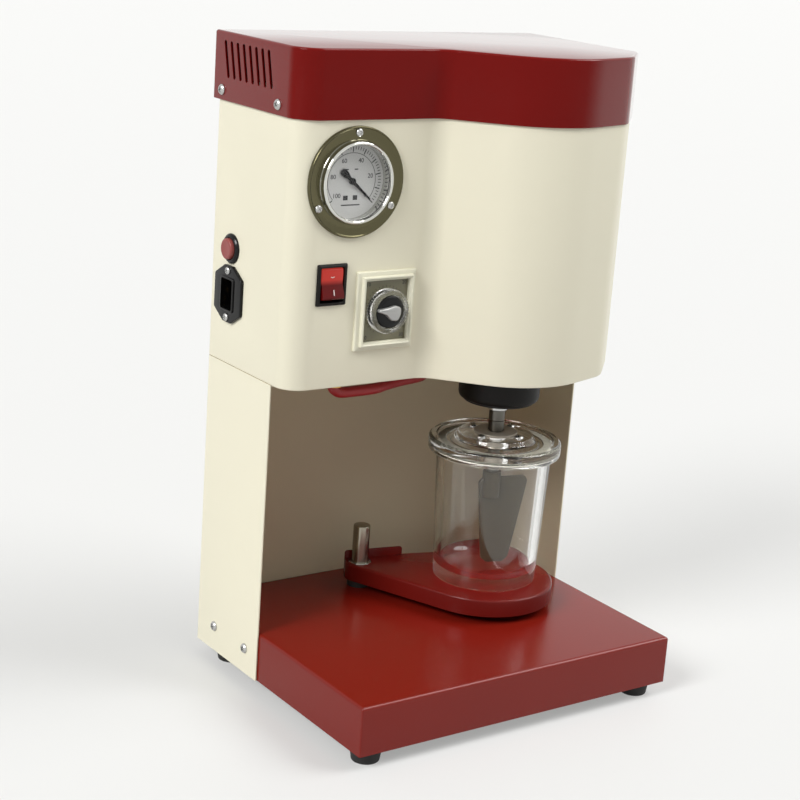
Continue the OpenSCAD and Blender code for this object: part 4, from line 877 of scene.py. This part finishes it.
# A plate with cut corners joined to a shell and a shroud, with the well and the screw holes cut out of it
def buildInlet(n):
    at = onSide(-1, n["y"], n["z"])
    w, h = n["size"][0] / 2, n["size"][1] / 2
    cx, cy = n["cut"]
    corners = [(w, -h + cy), (w, h - cy), (w - cx, h), (-w + cx, h), (-w, h - cy), (-w, -h + cy), (-w + cx, -h),
               (w - cx, -h)]
    plate = slab("plate", corners, [2.5] * 8, 0, n["out"], 0.8)
    shell = slab("shell", rectangle(*n["body"]), [2] * 4, -22, 0.4)
    shroud = slab("shroud", rectangle(*(size + 3.2 for size in n["well"])), [2.5] * 4, 0.5, n["out"] + 1.0, 0.7)
    well = slab("well", rectangle(*n["well"]), [1.8] * 4, -17, 9)
    holes = [moved(rod("hole", 1.7, -6, 6, 24), move(0, s * n["ear"], 0)) for s in (-1, 1)]
    socket = cut(cut(plate, [shell, shroud], "UNION"), [well] + holes)
    place("inletSocket", socket, glossBlack, "stand", ["inlet_socket"], smooth=30, matrix=at)
    blades = [moved(slab("pin", rectangle(2, 4), [0.3] * 4, -30, -4.5, 0.5), move(x, y, 0)) for x, y in n["pins"]]
    place("inletPins", joined("pins", blades), brass, "stand", ["inlet_pins"], matrix=at)
    spots = [at @ move(0, s * n["ear"], n["out"]) @ spun(n["screwTurn"]) for s in (-1, 1)]
    place("inletScrews", joined("screws", [panScrew(3, 8)] * 2, spots), steel, "stand", ["inlet_screws"])
    print("inlet built")


head = {"radius": 32.5, "bottom": 223, "top": 250.5, "seal": (20.5, 28.5), "sealDeep": 2, "sealOut": 1.5,
        "bore": 12, "bearing": 16, "bearingZ": 232.5}
paddle = {"shaft": 5, "shoulder": 6.5, "groove": 204.8, "shoulderFrom": 196.4, "socket": 213.5, "hexagon": 8,
          "bladeBottom": 83.5, "bladeHeight": 72, "foot": (-4, 20), "top": (-11, 33), "thickness": 3, "turn": -15,
          "hub": 7.5}


def buildHead(h):
    at = move(*bulge["centre"], 0)
    r, z0, z1, bore, bearing = h["radius"], h["bottom"], h["top"] - 0.01, h["bore"], h["bearing"]
    (a, b), deep, out = h["seal"], h["sealDeep"], h["sealOut"]
    profile = [(bore, z0), (a, z0), (a, z0 + deep), (b, z0 + deep), (b, z0), (r - 3.2, z0, 0.2),
               (r - 1.0, z0 + 1.0, 1.2), (r, z0 + 3.6, 1.2), (r, z1), (bearing, z1), (bearing, h["bearingZ"]),
               (bore, h["bearingZ"])]
    collar = lathe("collar", profile, 96, loop=True)
    place("headCollar", collar, blackPlastic, "stand", ["head_collar"], matrix=at)
    seal = lathe("seal", [(a, z0 + deep), (a, z0 - out, 0.6), (b, z0 - out, 0.6), (b, z0 + deep)], 96, loop=True)
    place("headSeal", seal, rubber, "stand", ["head_seal"], matrix=at)
    print("head built")


# A shaft with a groove and a hexagon above it, and a one-sided plate that narrows towards its foot
def buildPaddle(p):
    at = move(*bulge["centre"], 0)
    z0, h, s, q = p["bladeBottom"], p["bladeHeight"], p["shaft"], p["shoulder"]
    z1, groove, top = p["shoulderFrom"], p["groove"], p["socket"]
    shaft = lathe("shaft", [(0, z0 + h - 8), (s, z0 + h - 8), (s, z1), (q, z1, 0.4), (q, groove - 0.4),
                            (q - 0.5, groove, 0.2), (q, groove + 0.4), (q, top, 0.6), (q - 2, top)], 48)
    corners = circle(p["hexagon"] / 2 / math.cos(math.pi / 6), 6)
    hexagon = slab("hexagon", corners, [0.3] * 6, top - 0.5, top + 18.5, 0.6)
    mesh = joined("shaft", [shaft, hexagon])
    place("paddleShaft", mesh, darkSteel, "paddle", ["paddle_shaft"], matrix=at)
    (f0, f1), (x0, x1) = p["foot"], p["top"]
    outline = [(f0 + 5, 0), (f1 - 5, 0), (f1, 4), (x1, h - 4), (x1 - 3, h), (x0 + 3, h), (x0, h - 4), (f0, 4)]
    half = p["thickness"] / 2
    blade = slab("blade", outline, [2, 2, 4, 2.5, 2.5, 2.5, 2.5, 4], -half, half, 0.6, 0.6, 3)
    blade = moved(blade, spun(p["turn"]) @ move(0, 0, z0) @ spun(90, "X"))
    r, low, high = s - 0.1, z0 + h - 16, z0 + h + 6
    hub = lathe("hub", [(r, low), (p["hub"], low, 0.8), (p["hub"], high, 0.8), (r, high)], 48, loop=True)
    mesh = joined("blade", [blade, hub])
    place("paddleBlade", mesh, bladeSteel, "paddle", ["paddle_blades"], matrix=at)
    print("paddle built")


hose = {"start": (-100, 12), "end": (3, 34), "radius": 4.2, "low": 242, "rise": 6.5}


# A tube along a smooth route through given points, as the CAD's hose has them
def buildHose(h):
    (x0, y0), (x1, y1), low = h["start"], h["end"], h["low"]
    top = low + h["rise"]
    route = [(x0, y0, top), (x0, y0, top - 0.8), (x0, y0, top - 1.6), (x0 + 1.7, y0, low + 2.9),
             (x0 + 6, y0, low + 0.6), (x0 + 14, y0, low), (x0 + 38, y0 + 0.5, low), (x0 + 53, y0 + 6.3, low),
             (x0 + 71, y0 + 12, low), (x1 - 11, y1 - 6, low + 0.4), (x1 - 2, y1 - 1.1, low + 2.9),
             (x1, y1, top - 1.6), (x1, y1, top - 0.8), (x1, y1, top)]
    mesh = tube("hose", smoothRoute(route, 4), h["radius"])
    place("hoseLoop", mesh, redRubber, "stand", ["hose_loop"])
    print("hose built")


buildBase(base)
buildFeet(foot)
buildColumn(body, column)
buildHousing(body, housing)
buildCover(cover)
buildTray(tray, post)
buildJar(jar, lid)
buildScrews(sideScrews)
buildGauge(gauge)
buildRocker(rocker)
buildTimer(timer)
buildButton(button)
buildInlet(inlet)
buildHead(head)
buildPaddle(paddle)
buildHose(hose)


def makeCamera(c):
    yaw, pitch, roll = (math.radians(c[k]) for k in ("yaw", "pitch", "roll"))
    ahead = Vector((math.sin(yaw) * math.cos(pitch), math.cos(yaw) * math.cos(pitch), -math.sin(pitch)))
    right = Vector((math.cos(yaw), -math.sin(yaw), 0))
    up = right.cross(ahead)
    data = bpy.data.cameras.new("camera")
    data.lens = c["lens"]
    data.sensor_width = 36
    rolledRight = math.cos(roll) * right + math.sin(roll) * up
    rolledUp = math.cos(roll) * up - math.sin(roll) * right
    rotation = Matrix((rolledRight, rolledUp, -ahead)).transposed().to_4x4()
    bpy.context.scene.camera = inScene("camera", data)
    bpy.context.scene.camera.matrix_world = Matrix.Translation(Vector(c["place"])) @ rotation


# Joins the rays that see the object's surroundings: from the camera, in gloss and through glass
def seenRays(tree):
    path = tree.nodes.new("ShaderNodeLightPath").outputs
    either = maths(tree, "MAXIMUM", path["Is Camera Ray"], path["Is Glossy Ray"])
    return maths(tree, "MAXIMUM", either, path["Is Transmission Ray"])


# The floor and the surroundings are brighter for the rays that see them than for the light they give
studio = {"floor": 0.42, "floorGlow": 0.34, "floorHalf": 30, "world": 0.33, "seen": 0.93,
          "tint": (1, 1, 0.985, 1),
          "suns": (("key", 2.5, (0.78, 0.17, -0.60), 24), ("fill", 2.1, (-0.6, 0.36, -0.71), 36))}


def makeStage(s):
    corners = np.array(rectangle(2 * s["floorHalf"], 2 * s["floorHalf"]))
    floor = inScene("floor", meshFrom("floor", ringAt(corners, 0), [(0, 1, 2, 3)]))
    m, tree, shader = newMaterial("floor")
    shader["Base Color"].default_value = (s["floor"], s["floor"], s["floor"] * 0.985, 1)
    shader["Roughness"].default_value = 0.6
    shader["Emission Color"].default_value = s["tint"]
    feed(tree, shader["Emission Strength"], maths(tree, "MULTIPLY", seenRays(tree), s["floorGlow"]))
    floor.data.materials.append(m)


def makeLights(s):
    for name, energy, way, size in s["suns"]:
        data = bpy.data.lights.new(name, "SUN")
        data.energy = energy
        data.angle = math.radians(size)
        inScene(name, data).rotation_euler = Vector(way).to_track_quat("-Z", "Y").to_euler()
    world = bpy.data.worlds.new("studio")
    bpy.context.scene.world = world
    world.use_nodes = True
    tree = world.node_tree
    back = tree.nodes["Background"].inputs
    back["Color"].default_value = s["tint"]
    feed(tree, back["Strength"], ranged(tree, seenRays(tree), 0, 1, s["world"], s["seen"]))


makeCamera(camera)
makeStage(studio)
makeLights(studio)
print("studio ready")
bpy.context.scene.view_settings.view_transform = "Standard"
